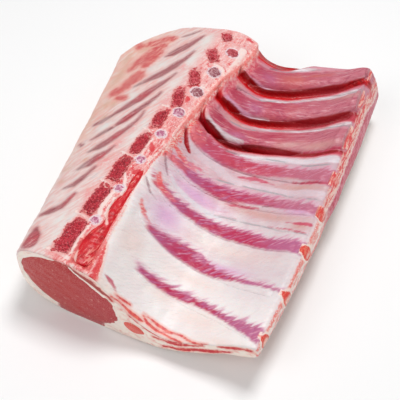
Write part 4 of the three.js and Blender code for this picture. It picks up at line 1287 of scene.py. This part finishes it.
def rib_side_finish():
    """Membrane, fat and meat over the ribs: rosy bands that fray into slanting strokes near the loin
    end and run smooth along the ribs near the shoulder, pale fat between them, grey folds, wet red
    hollows with painted shade under the ribs' edges, painted highlights on the last ribs, and the
    sawn edge."""
    f = Finish("rib_side")
    x, y = f.axis("X"), f.axis("Y")
    rib, band_at, side = f.field("rib"), f.field("band"), f.field("side")
    lilac, peach, beige, crimson = map(f.field, ("lilac", "peach", "beige", "crimson"))
    broad = f.grain(42, 5, 1.6, 0.6)
    thin = f.grain(44, 7, 0.8, 1)
    along = f.grain(22, 9, 1.1, 2)
    smear = f.grain(6, 6, 2.6, 3)
    cloud = f.noise(13, 3)
    small = f.noise(2.2, 3)
    fine = f.noise(0.8, 3, 0.6)
    far = f.step(rib, 5.25, 5.75)
    near = 1 - far
    slants = broad - 0.5
    threads = thin - 0.5
    runs = along - 0.5

    # The bands: even along their loin edge, frayed into long strokes along their shoulder edge.
    fray = (slants * 0.9 + threads * 0.35) * near * (5.5 + side * 5) + runs * far * 1.2
    fray = fray * (1 - f.step(x, 16, -6) * f.step(rib, 2.4, 1.8) * 0.65)
    inside = f.step(band_at + fray, -1.7, 0.8)
    wash = f.step(band_at + fray, -4, 0) * f.step(side, -0.2, 0.5)

    # The fat between them, greyer and pinker towards the shoulder end.
    fat = f.paint(
        "#F4EEEC",
        ("#D2A9B3", f.step(rib + (cloud - 0.5) * 2, 2.7, 4.5) * 0.85),
        ("#E8C0C8", f.step(smear * 0.4 + cloud * 0.6, 0.4, 0.64) * (f.step(rib, 1.4, 3) * 0.45 + 0.12)),
        ("#BFA8B2", f.step(x + (cloud - 0.5) * 40, 4, 44) * f.step(rib, 1, 2.4) * 0.42),
        ("#D6E0DC", f.step(smear, 0.56, 0.68) * f.step(rib, 1.6, 3.4) * 0.35),
        ("#D88C98", f.step(along, 0.55, 0.68) * f.step(rib, 2.4, 4.2) * 0.55),
        ("#CF8494", far * 0.8),
        ("#E0AED4", lilac * near * 0.9),
        ("#F0D0C6", peach * 0.45),
        (FAT_BEIGE, beige * 0.9),
    )
    near_band = f.paint(
        CRIMSON,
        (MAUVE, f.step(slants + side * 0.08, -0.08, 0.12) * 0.8),
        (MAUVE, f.step(x, 12, -6) * near * 0.5),
        (CRIMSON, crimson * 0.65),
        ("#BE6E94", f.step(x + runs * 12, 36, 58) * 0.8),
        ("#CC5060", f.step(rib, 4.3, 5.0) * 0.55),
        ("#C27488", f.step(rib, 3.4, 4.2) * f.step(x + runs * 20, 20, 48) * 0.75),
        ("#E0A0B6", f.step(thin * 0.6 + broad * 0.4 + side * 0.07, 0.53, 0.66) * 0.6),
        ("#E07078", f.step(x + slants * 14, -8, -19) * f.step(rib, 1.5, 2) * 0.85),
    )
    # The far bands; the light pink streaks along them are fibre with painted sheen.
    far_band = f.paint(
        "#C05468",
        ("#C9626A", f.step(cloud, 0.46, 0.6) * 0.7),
        ("#B8405E", f.step(x, 20, -12) * f.step(broad * 0.4 + cloud * 0.6, 0.42, 0.56) * 0.7),
        ("#C67A88", f.step(x + runs * 40, 12, 50) * 0.7),
        ("#E0AAB0", f.step(along, 0.55, 0.68) * 0.55),
        ("#A03C58", f.step(along * 0.5 + thin * 0.5, 0.46, 0.38) * 0.55),
        ("#B4304C", crimson * 0.6),
        ("#B87AAA", lilac * 0.35),
        ("#CE6A62", peach * 0.7),
        (FAT_BEIGE, beige * 0.7),
    )

    # On them: pale stripes of membrane with painted highlights on the last ribs' loin edges, grey
    # folds, streaks of meat, flesh at the bands' ends, thin lean lines.
    pearl = f.field("pearl") + runs * 0.8 + (smear - 0.5) * 0.8
    membrane_and_sheen = f.paint(
        "#E6DEE4",
        ("#D9BCC4", f.step(rib, 3.4, 4.2) * f.step(rib, 5.2, 4.8) * 0.7),
        ("#CDBDBE", far * f.step(smear * 0.5 + along * 0.5, 0.42, 0.56) * 0.9),
        ("#D8A6C0", f.step(rib, 6.3, 6.8) * f.step(x, 8, 0)),
    )
    flesh = f.step(f.field("flesh") + slants * 2 + (small - 0.5) * 2, 1.2, -0.8)
    fan = f.paint(
        "#EE5A5C",
        ("#DE6E86", f.step(x + slants * 8, -19, -12)),
        ("#F2A8A4", f.step(thin, 0.52, 0.64)),
    )
    lean = f.field("lean") + (small - 0.5) * 0.9
    colour = f.paint(
        fat,
        ("#DFA6BC", wash * near * 0.65),
        (f.mix(near_band, far_band, far), inside),
        (membrane_and_sheen, f.step(pearl - far * 0.5, 0.9, -0.8) * 0.85),
        ("#98989C", f.step(f.field("fold"), 0.35, 0.95) * f.step(cloud, 0.35, 0.5) * 0.7),
        ("#CA3E5E", f.step(f.field("dash") + slants * 1.5 + threads, 0.7, -0.6) * 0.85),
        ("#F6E6DE", f.step(y + (small - 0.5) * 3, -83, -87) * f.step(x, 60, 20) * 0.9),
        (fan, flesh * 0.85),
        ("#F0A398", f.step(lean, 1.7, 0.1) * 0.6),
        (f.mix("#D8363F", "#E8604E", f.step(small, 0.4, 0.6)), f.step(lean, 0.4, -0.3) * 0.9),
    )

    # Flesh between the border and the hollows, and between the border and the middle ribs.
    border = f.field("border")
    far_root = f.mix("#D8606E", "#E89A9A", f.step(small, 0.44, 0.6))
    root = f.mix("#EC5E5C", "#F6C8BA", f.step(fine * 0.5 + thin * 0.5, 0.46, 0.58))
    ragged = f.step(border + (small - 0.5) * 5 + threads * 3, 4.6, 2.4)
    colour = f.paint(
        colour,
        (far_root, f.step(border, 8.5, 3) * f.step(rib, 4.5, 5.2) * 0.8),
        (root, ragged * f.step(y, -6, 12) * f.step(y, 50, 38) * 0.9),
    )

    # The hollows: painted shade, dark red under the rib's edge, brightening to red and pink at
    # the far side; slits and small veins.
    hollow = f.field("hollow") + runs * 0.9
    floor = f.field("floor") + (fine - 0.5) * 0.35 + (small - 0.5) * 0.2
    deep = f.step(hollow, -1.3, -0.2)
    red = f.paint(
        "#8A0308",
        ("#D40812", f.step(floor, 0.0, 0.46)),
        ("#5A0410", f.step(rib, 6.0, 5.8) * 0.5),
        (f.mix("#9A141C", "#C04452", f.step(floor, -0.1, 0.6)), f.step(x, 14, 44)),
        (HOLLOW_PINK, f.step(floor, 0.95, 1.25) * 0.6),
        (f.mix("#9C000A", "#C80A14", f.step(small, 0.42, 0.6)), f.step(y, 115, 121) * 0.9),
    )
    nick = f.field("nick") + (small - 0.5) * 1.4 + (fine - 0.5) * 0.8
    colour = f.paint(
        colour,
        (HOLLOW_PINK, f.step(hollow, -3, -1) * f.step(floor, 0.6, 0.95) * 0.6),
        (red, deep),
        (f.mix("#A80C1C", "#C20A14", f.step(rib, 5.6, 6.4)), f.step(f.field("slit"), 0.9, -0.1)),
        ("#8A4656", f.step(nick, 0.7, -0.3) * 0.6),
    )
    colour = border_paint(f, colour, y, small, fine)
    colour = edge_paint(f, colour, y, small, fine)
    height = slants * near * 0.8 + threads * near * 0.4 + runs * 0.5 + fine * 0.3 + cloud * 0.5
    return f.surface(colour, 0.4 + runs * 0.3 - deep * 0.08, height, 0.5, 0.22)


def fat_paint(f):
    """Colour of the fat side: creamy white to peach with faint pink patches."""
    return f.paint(
        "#F6E0D4",
        ("#EEC2B4", f.step(f.noise(30, 4), 0.42, 0.62)),
        ("#DE9890", f.step(f.noise(11, 4), 0.56, 0.72) * 0.5),
    )


def split_face_finish():
    """The split face: creamy fat and bone between mauve feather bones, coral meat round the spine."""
    f = Finish("split_face")
    x, y = f.axis("X"), f.axis("Y")
    white, bone = f.field("white"), f.field("bone")
    slant = f.grain(60, 9, 1.0, 2)
    sweep = f.grain(64, 7, 2.4, 2)
    strand = f.grain(84, 5, 1.5, 3, 1.0)
    cloud = f.noise(12, 3)
    small = f.noise(2.8, 3)
    speck = f.noise(1.1, 2, 0.6)
    fine = f.noise(0.7, 3, 0.6)
    runs = slant - 0.5
    mottle = small * 0.5 + speck * 0.5
    wave = (small - 0.5) * 2.4 + (speck - 0.5) * 1.4

    # The outer part: feather bones, patches of meat, and the fat side's colour round its edge.
    mauve = f.paint(
        "#A8656A",
        ("#BC4450", f.field("red")),
        ("#B09E9B", f.field("grey") * 0.6),
        ("#7A3C44", f.step(slant * 0.6 + speck * 0.4, 0.5, 0.62) * 0.6),
        ("#DDBCBA", f.step(slant * 0.6 + fine * 0.4, 0.46, 0.36) * 0.5),
    )
    meat = f.paint(
        "#CC3E48",
        ("#DE7A72", f.step(slant * 0.6 + small * 0.4, 0.48, 0.64)),
        ("#F0B6A8", f.step(slant * 0.7 + fine * 0.3, 0.47, 0.4) * 0.8),
    )
    blade = f.field("blade") + runs * 3.4
    patch = f.field("patch") + runs * 6 + (small - 0.5) * 4
    colour = f.paint(
        "#E9D0CC",
        (SPLIT_PINK, f.step(sweep, 0.42, 0.58)),
        ("#EEBBA8", f.step(x + (cloud - 0.5) * 40, -68, -88) * 0.6),
        ("#EE9C92", f.step(slant, 0.52, 0.66) * f.step(cloud, 0.42, 0.58) * 0.6),
        ("#F0E6E2", f.step(slant, 0.48, 0.38) * 0.6),
        ("#C4AEB4", f.step(sweep * 0.6 + slant * 0.4, 0.44, 0.36) * 0.45),
        ("#E6E0DC", white * f.step(cloud, 0.3, 0.6)),
        ("#EC8F90", f.field("salmon") * f.step(mottle, 0.4, 0.58) * 0.8),
        ("#D09A7A", f.field("tan") * 0.5),
        (f.mix(mauve, SPLIT_PINK, 0.4), f.step(blade, 1.8, 0) * 0.6),
        (mauve, f.step(blade, 0.7, -0.9) * 0.9),
        ("#EBA79C", f.step(patch, 5.5, 1.5) * 0.6),
        (meat, f.step(patch, 3.4, 0) * 0.85),
        (fat_paint(f), f.step(f.field("turn") + (sweep - 0.5) * 1.2, 0.75, 0.05)),
    )

    # Round the spine: mottled coral flesh, paler towards the shoulder end.
    spine = f.step(x + (cloud - 0.5) * 6 + (small - 0.5) * 4, -45, -37)
    flesh = f.paint(
        "#EFA8A4",
        ("#E2525A", f.step(mottle, 0.46, 0.57)),
        ("#C22A36", f.step(speck * 0.5 + cloud * 0.5, 0.43, 0.36) * 0.6),
        ("#F7DCD6", f.step(speck * 0.55 + small * 0.45, 0.53, 0.6) * 0.85),
        ("#DC4248", f.step(strand, 0.54, 0.63) * 0.6),
        ("#FBE4DC", f.step(strand, 0.45, 0.36) * 0.6),
        ("#EFCBC8", f.step(y + (cloud - 0.5) * 60, 10, 60) * f.step(small, 0.4, 0.56) * 0.55),
    )
    coral = f.field("coral") + (small - 0.5) * 2.4 + (speck - 0.5) * 2
    cream = f.step(f.field("cream") + wave, 0.7, -0.1)
    wet = f.mix("#D23238", "#EE8478", f.step(mottle, 0.46, 0.58))
    stain = f.mix("#E79A96", "#CC4A54", f.step(speck, 0.46, 0.56) * f.step(y, 0, 50))
    leak = f.step(bone + (small - 0.5) * 7 + (speck - 0.5) * 1.5, 0.5, -0.1)
    ring = f.step(f.field("ring") + wave * 0.5, 1.1, 0.3) * f.step(small, 0.34, 0.48)
    colour = f.paint(
        colour,
        (flesh, spine),
        ("#E9D6D2", white * spine * f.step(speck, 0.4, 0.52) * 0.9),
        ("#D8303A", f.step(coral, 0.6, -0.6) * 0.9),
        ("#F6E2DC", cream * 0.85),
        (wet, f.step(f.field("strip") + wave * 0.8, 2.4, 0.8) * f.step(y, -64, -74) * 0.85),
        (stain, f.step(bone + wave, 1.9, 0.2) * 0.8),
        (f.mix("#A8202C", "#D0424A", f.step(speck, 0.44, 0.56)), leak * 0.9),
        ("#EEDCE0", ring * 0.8),
    )
    colour = border_paint(f, colour, y, small, fine)
    height = slant * 0.4 + fine * 0.35 + small * 0.5 + cloud * 0.6 + cream * 0.25
    return f.surface(colour, 0.46 + runs * 0.3, height, 0.5, 0.15)


def cut_face_finish():
    """The loin-end and shoulder-end cuts: a fat rim round the muscles, streaks of meat between layers
    of fat out to the rib tips, and low under the eye muscle at the loin end a dull red band of meat
    darkened with painted shade below the muscle."""
    f = Finish("cut_face")
    x, y, z = f.axis("X"), f.axis("Y"), f.axis("Z")
    cloud = f.noise(7, 3)
    small = f.noise(2.2, 3)
    fine = f.noise(0.8, 4)
    run = f.node("Mapping", None, {"Vector": f.place, "Scale": (0.28, 1, 1), "Rotation": (0, 0.3, 0)})
    streak = f.noise(1.7, 3, 0.6, 0.5, run)
    wash = f.field("meat_line") + (small - 0.5) * 2
    red = f.paint(
        "#D22C36",
        ("#E05A50", f.step(small, 0.44, 0.58)),
        ("#A44640", f.step(x, -4, -12) * 0.8),
    )
    eye = f.field("eye") + (small - 0.5) * 1.2
    ragged_x = x + (small - 0.5) * 4
    # Painted shade: a dull red band low under the eye muscle at the loin end.
    low = f.step(z + (small - 0.5) * 2, 5.4, 4.6) * f.step(y, 20, 0)
    low = low * f.step(ragged_x, -14, -16) * f.step(ragged_x, -45, -41) * f.step(eye, 4, 3.4)
    colour = f.paint(
        "#FFF0E4",
        ("#FAD0C4", f.step(cloud * 0.6 + streak * 0.4, 0.46, 0.62) * 0.8),
        ("#EE8E86", f.step(streak, 0.54, 0.64) * f.step(cloud, 0.44, 0.6) * 0.6),
        ("#EC8E86", f.step(wash, 1.8, 0.3) * 0.65),
        (red, f.step(wash, 0.6, -0.2)),
        ("#FFF0E6", f.step(eye, 1.4, 0.6) * 0.8),
        (f.mix("#B03A40", "#C2505A", f.step(fine, 0.44, 0.6)), low * 0.9),
    )
    return f.surface(colour, 0.45 + (fine - 0.5) * 0.2, fine * 0.3 + cloud * 0.5, 0.4, 0.2)


def outer_fat_finish():
    """The fat side, with broad low humps."""
    f = Finish("outer_fat")
    fine = f.noise(1.5, 4)
    return f.surface(fat_paint(f), 0.46 + (fine - 0.5) * 0.2, fine * 0.3 + f.noise(11, 4) * 0.8, 0.6, 0.15)


FIBRE_SIZE = 1.1


def muscle_finish(name, base, dark, pale):
    """A cut muscle: fine bundles of fibre seen end on, with thin pale threads between them."""
    f = Finish(name)
    cloud = f.noise(12, 3)
    cells = {"Vector": f.place, "Scale": 1 / (FIBRE_SIZE * MM)}
    bundles = f.node("TexVoronoi", {"feature": "DISTANCE_TO_EDGE"}, cells)
    fine = f.noise(0.8, 4)
    colour = f.paint(
        base,
        (dark, f.step(f.axis("X") + (cloud - 0.5) * 50, -44, -10) * 0.8),
        (dark, f.step(fine * 0.5 + cloud * 0.5, 0.5, 0.62) * 0.6),
        (pale, f.step(bundles + (fine - 0.5) * 0.2, 0.1, 0.0) * 0.3),
        (pale, f.step(f.noise(2.0, 2), 0.62, 0.72) * 0.5),
        (pale, f.step(f.field("rim"), 0.95, 0.995) * 0.4),
    )
    height = fine * 0.4 + f.step(bundles, 0.0, 0.3) * 0.25
    return f.surface(colour, 0.42 + (fine - 0.5) * 0.2, height, 0.35, 0.2)


def marrow_finish():
    """Sawn spongy bone: dark red marrow with pale grit, paler towards the shoulder end, with a rim
    that flesh eats into."""
    f = Finish("marrow")
    grit = f.noise(0.8, 2, 0.6)
    spots = f.noise(1.5, 2)
    cloud = f.noise(4, 3)
    pale = f.step(f.axis("Y"), 10, 60)
    rim = f.field("rim")
    blush = f.step(rim + (spots - 0.5) * 0.5 + pale * 0.08, 0.8, 1.0)
    bite = rim + (f.noise(3.2, 2) - 0.5) * 0.9 + (spots - 0.5) * 0.2
    colour = f.paint(
        "#8E1824",
        ("#C42C3C", f.step(grit * 0.7 + cloud * 0.3, 0.42, 0.54)),
        ("#DC7A80", f.step(grit * 0.6 + spots * 0.4, 0.55, 0.64) * 0.75),
        ("#6E0A14", f.step(spots * 0.6 + grit * 0.4, 0.44, 0.36) * 0.6),
        ("#E0727A", f.step(cloud * 0.6 + grit * 0.4, 0.5, 0.6) * pale * 0.6),
        ("#E07C80", blush * f.step(grit, 0.4, 0.54) * 0.8),
        (f.mix("#E2706E", "#F2B8AE", f.step(grit, 0.44, 0.56)), f.step(bite, 1.0, 1.08) * 0.9),
    )
    return f.surface(colour, 0.42 + (grit - 0.5) * 0.3, grit, 0.5, 0.22)


def gristle_finish():
    """A sawn joint: a mottled core in a thin pale ring, pinker towards the loin end."""
    f = Finish("gristle")
    y = f.axis("Y")
    fine = f.noise(0.7, 3, 0.6)
    mottle = f.noise(1.8, 3)
    rim = f.field("rim") + (mottle - 0.5) * 0.35
    tone = f.step(mottle * 0.5 + fine * 0.5, 0.44, 0.58)
    ring = f.step(rim + f.step(y, 30, 10) * 0.16, 0.8, 0.95) * f.step(y + (mottle - 0.5) * 30, 112, 100)
    colour = f.paint(
        f.mix("#B65E80", "#E6B8C6", tone),
        (f.mix("#8E4450", "#C8979C", tone), f.step(y, 30, 50)),
        (f.mix("#A02A36", "#D06A70", tone), f.step(y, 88, 94)),
        ("#EDD8DE", ring * f.step(mottle, 0.38, 0.5)),
    )
    return f.surface(colour, 0.42 + (fine - 0.5) * 0.2, fine, 0.3, 0.22)


def wet_red_finish():
    """The bright wet strip of muscle beside the spine, streaked with coral and cream."""
    f = Finish("wet_red")
    along = f.grain(82, 5, 1.2, 3, 1.2)
    fine = f.noise(0.8, 3, 0.6)
    cloud = f.noise(5, 3)
    colour = f.paint(
        "#D01424",
        ("#A40816", f.step(fine * 0.4 + cloud * 0.6, 0.5, 0.6) * 0.75),
        ("#E8504C", f.step(fine * 0.5 + along * 0.5, 0.51, 0.6) * 0.7),
        ("#F29A8C", f.step(along, 0.57, 0.66) * f.step(cloud, 0.4, 0.55) * 0.5),
        ("#EE9A8E", f.step(along, 0.5, 0.58) * f.step(f.axis("Y"), -74, -82) * 0.75),
        ("#F3C6BE", f.step(f.field("cream") + (cloud - 0.5) * 2, 0.6, -0.2) * 0.85),
        ("#E0504A", f.step(f.field("lean") + (fine - 0.5), 0.4, -0.3) * 0.8),
        ("#EFB6B2", f.step(f.field("border") + (cloud - 0.5) * 2, -0.6, 0.4) * 0.6),
    )
    return f.surface(colour, 0.34 + (fine - 0.5) * 0.2, along * 0.5 + fine * 0.4, 0.5, 0.4)


# ------------------------------------------------------------------ the rack, dressed

rib_side = rib_side_finish()
split_face = split_face_finish()
meat_finishes = [rib_side, split_face, outer_fat_finish(), cut_face_finish()]
marrow = marrow_finish()
gristle = gristle_finish()
eye_red = muscle_finish("eye_muscle", "#BE3032", "#BC3A42", "#DC9C92")
side_red = muscle_finish("side_muscle", "#F07064", "#EA6258", "#F4BCAE")


def dress(piece, finishes, node):
    """Gives a piece its finishes and sets it in the frame in place of its node."""
    for finish in finishes:
        piece.data.materials.append(finish)
    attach(piece, "root")
    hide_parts(node)


dress(meat_body(), meat_finishes, "meat_body")
dress(muscle_piece("eye", EYE, 1.0, 120, 22), [eye_red], "loin_eye")
dress(muscle_piece("small_muscle", SIDE_MUSCLE, 0.5, 64, 12), [side_red], "side_muscle")
for number, rib in enumerate(RIBS, 1):
    dress(rib_piece(number, rib), [rib_side], f"rib_{number}")
for number, block in enumerate(VERTEBRAE, 1):
    ragged = min(number / 8, 1)
    power, uneven = 0.5 + 0.3 * ragged, 0.05 + 0.06 * ragged
    piece = plug_piece(
        f"spine_bone_{number}", block, 100 + number, depth=4.6, dome=-0.15, rough=0.16, power=power,
        uneven=uneven,
    )
    dress(piece, [marrow], f"vertebra_{number}")
for number, joint in enumerate(JOINTS, 1):
    piece = plug_piece(
        f"joint_{number}", joint, 200 + number, depth=4.0, dome=0.4, rough=0.08, power=1.0, uneven=0.05,
        rings=16, columns=48,
    )
    dress(piece, [gristle], f"rib_joint_{number}")
for number, ends in enumerate(FEATHER_BONES, 1):
    dress(feather_piece(number, ends), [split_face], f"feather_bone_{number}")
dress(red_strip(), [wet_red_finish()], "chine_muscle")

# ------------------------------------------------------------------ floor, light and camera

VIEW_TURN = math.radians(25)  # the camera looks along this turn from +Y
VIEW_DROP = math.radians(48)  # and this far down
VIEW_DISTANCE = 423.0
VIEW_TARGET = np.array([0.0, 0.0, 18.8])
LENS = 64.9
FLOOR_SIZE = 6.0  # metres each way from the middle
LIGHT_AIM = Vector((0, 0, 0.02))


def add_object(name, data):
    """An object of its own in the scene."""
    made = bpy.data.objects.new(name, data)
    bpy.context.scene.collection.objects.link(made)
    return made


def add_camera():
    """A camera at the given distance from its target, turned about Z and tilted down."""
    level = np.array([-math.sin(VIEW_TURN), math.cos(VIEW_TURN), 0.0])
    forward = level * math.cos(VIEW_DROP) - np.array([0, 0, 1.0]) * math.sin(VIEW_DROP)
    data = bpy.data.cameras.new("camera")
    data.lens = LENS
    data.sensor_width = 36.0
    data.clip_start = 0.01
    camera = add_object("camera", data)
    camera.location = (VIEW_TARGET - VIEW_DISTANCE * forward + PART_SHIFT) * MM
    camera.rotation_euler = (math.pi / 2 - VIEW_DROP, 0, VIEW_TURN)
    bpy.context.scene.camera = camera


def add_floor():
    """A plain pale floor, a hair below the fat side."""
    f = Finish("floor")
    shader = f.node("BsdfPrincipled", None, {"Base Color": "#FAFAFA", "Roughness": 0.9})
    f.node("OutputMaterial", None, {"Surface": shader})
    corners = [(x * FLOOR_SIZE, y * FLOOR_SIZE, 0) for x, y in ((-1, -1), (1, -1), (1, 1), (-1, 1))]
    mesh = bpy.data.meshes.new("floor")
    mesh.from_pydata(corners, [], [(0, 1, 2, 3)])
    mesh.materials.append(f.material)
    floor = add_object("floor", mesh)
    floor.location.z = -0.0002


def add_light(name, at, size, power):
    """A square soft light, size metres wide, that faces the rack."""
    data = bpy.data.lights.new(name, "AREA")
    data.size = size
    data.energy = power
    light = add_object(name, data)
    light.location = at
    light.rotation_euler = (LIGHT_AIM - Vector(at)).to_track_quat("-Z", "Y").to_euler()


def add_surroundings():
    """An even white surround and three soft lights."""
    world = bpy.data.worlds.new("studio")
    world.use_nodes = True
    sky = world.node_tree.nodes["Background"].inputs
    sky["Color"].default_value = (1, 1, 1, 1)
    sky["Strength"].default_value = 0.33
    bpy.context.scene.world = world
    add_light("key", (0.04, 0.26, 1.0), size=0.33, power=5.9)
    add_light("front", (-0.3, -0.62, 0.72), size=0.6, power=2.3)
    add_light("right", (0.7, -0.3, 0.6), size=0.8, power=0.8)


add_camera()
add_floor()
add_surroundings()
bpy.context.scene.view_settings.view_transform = "Standard"
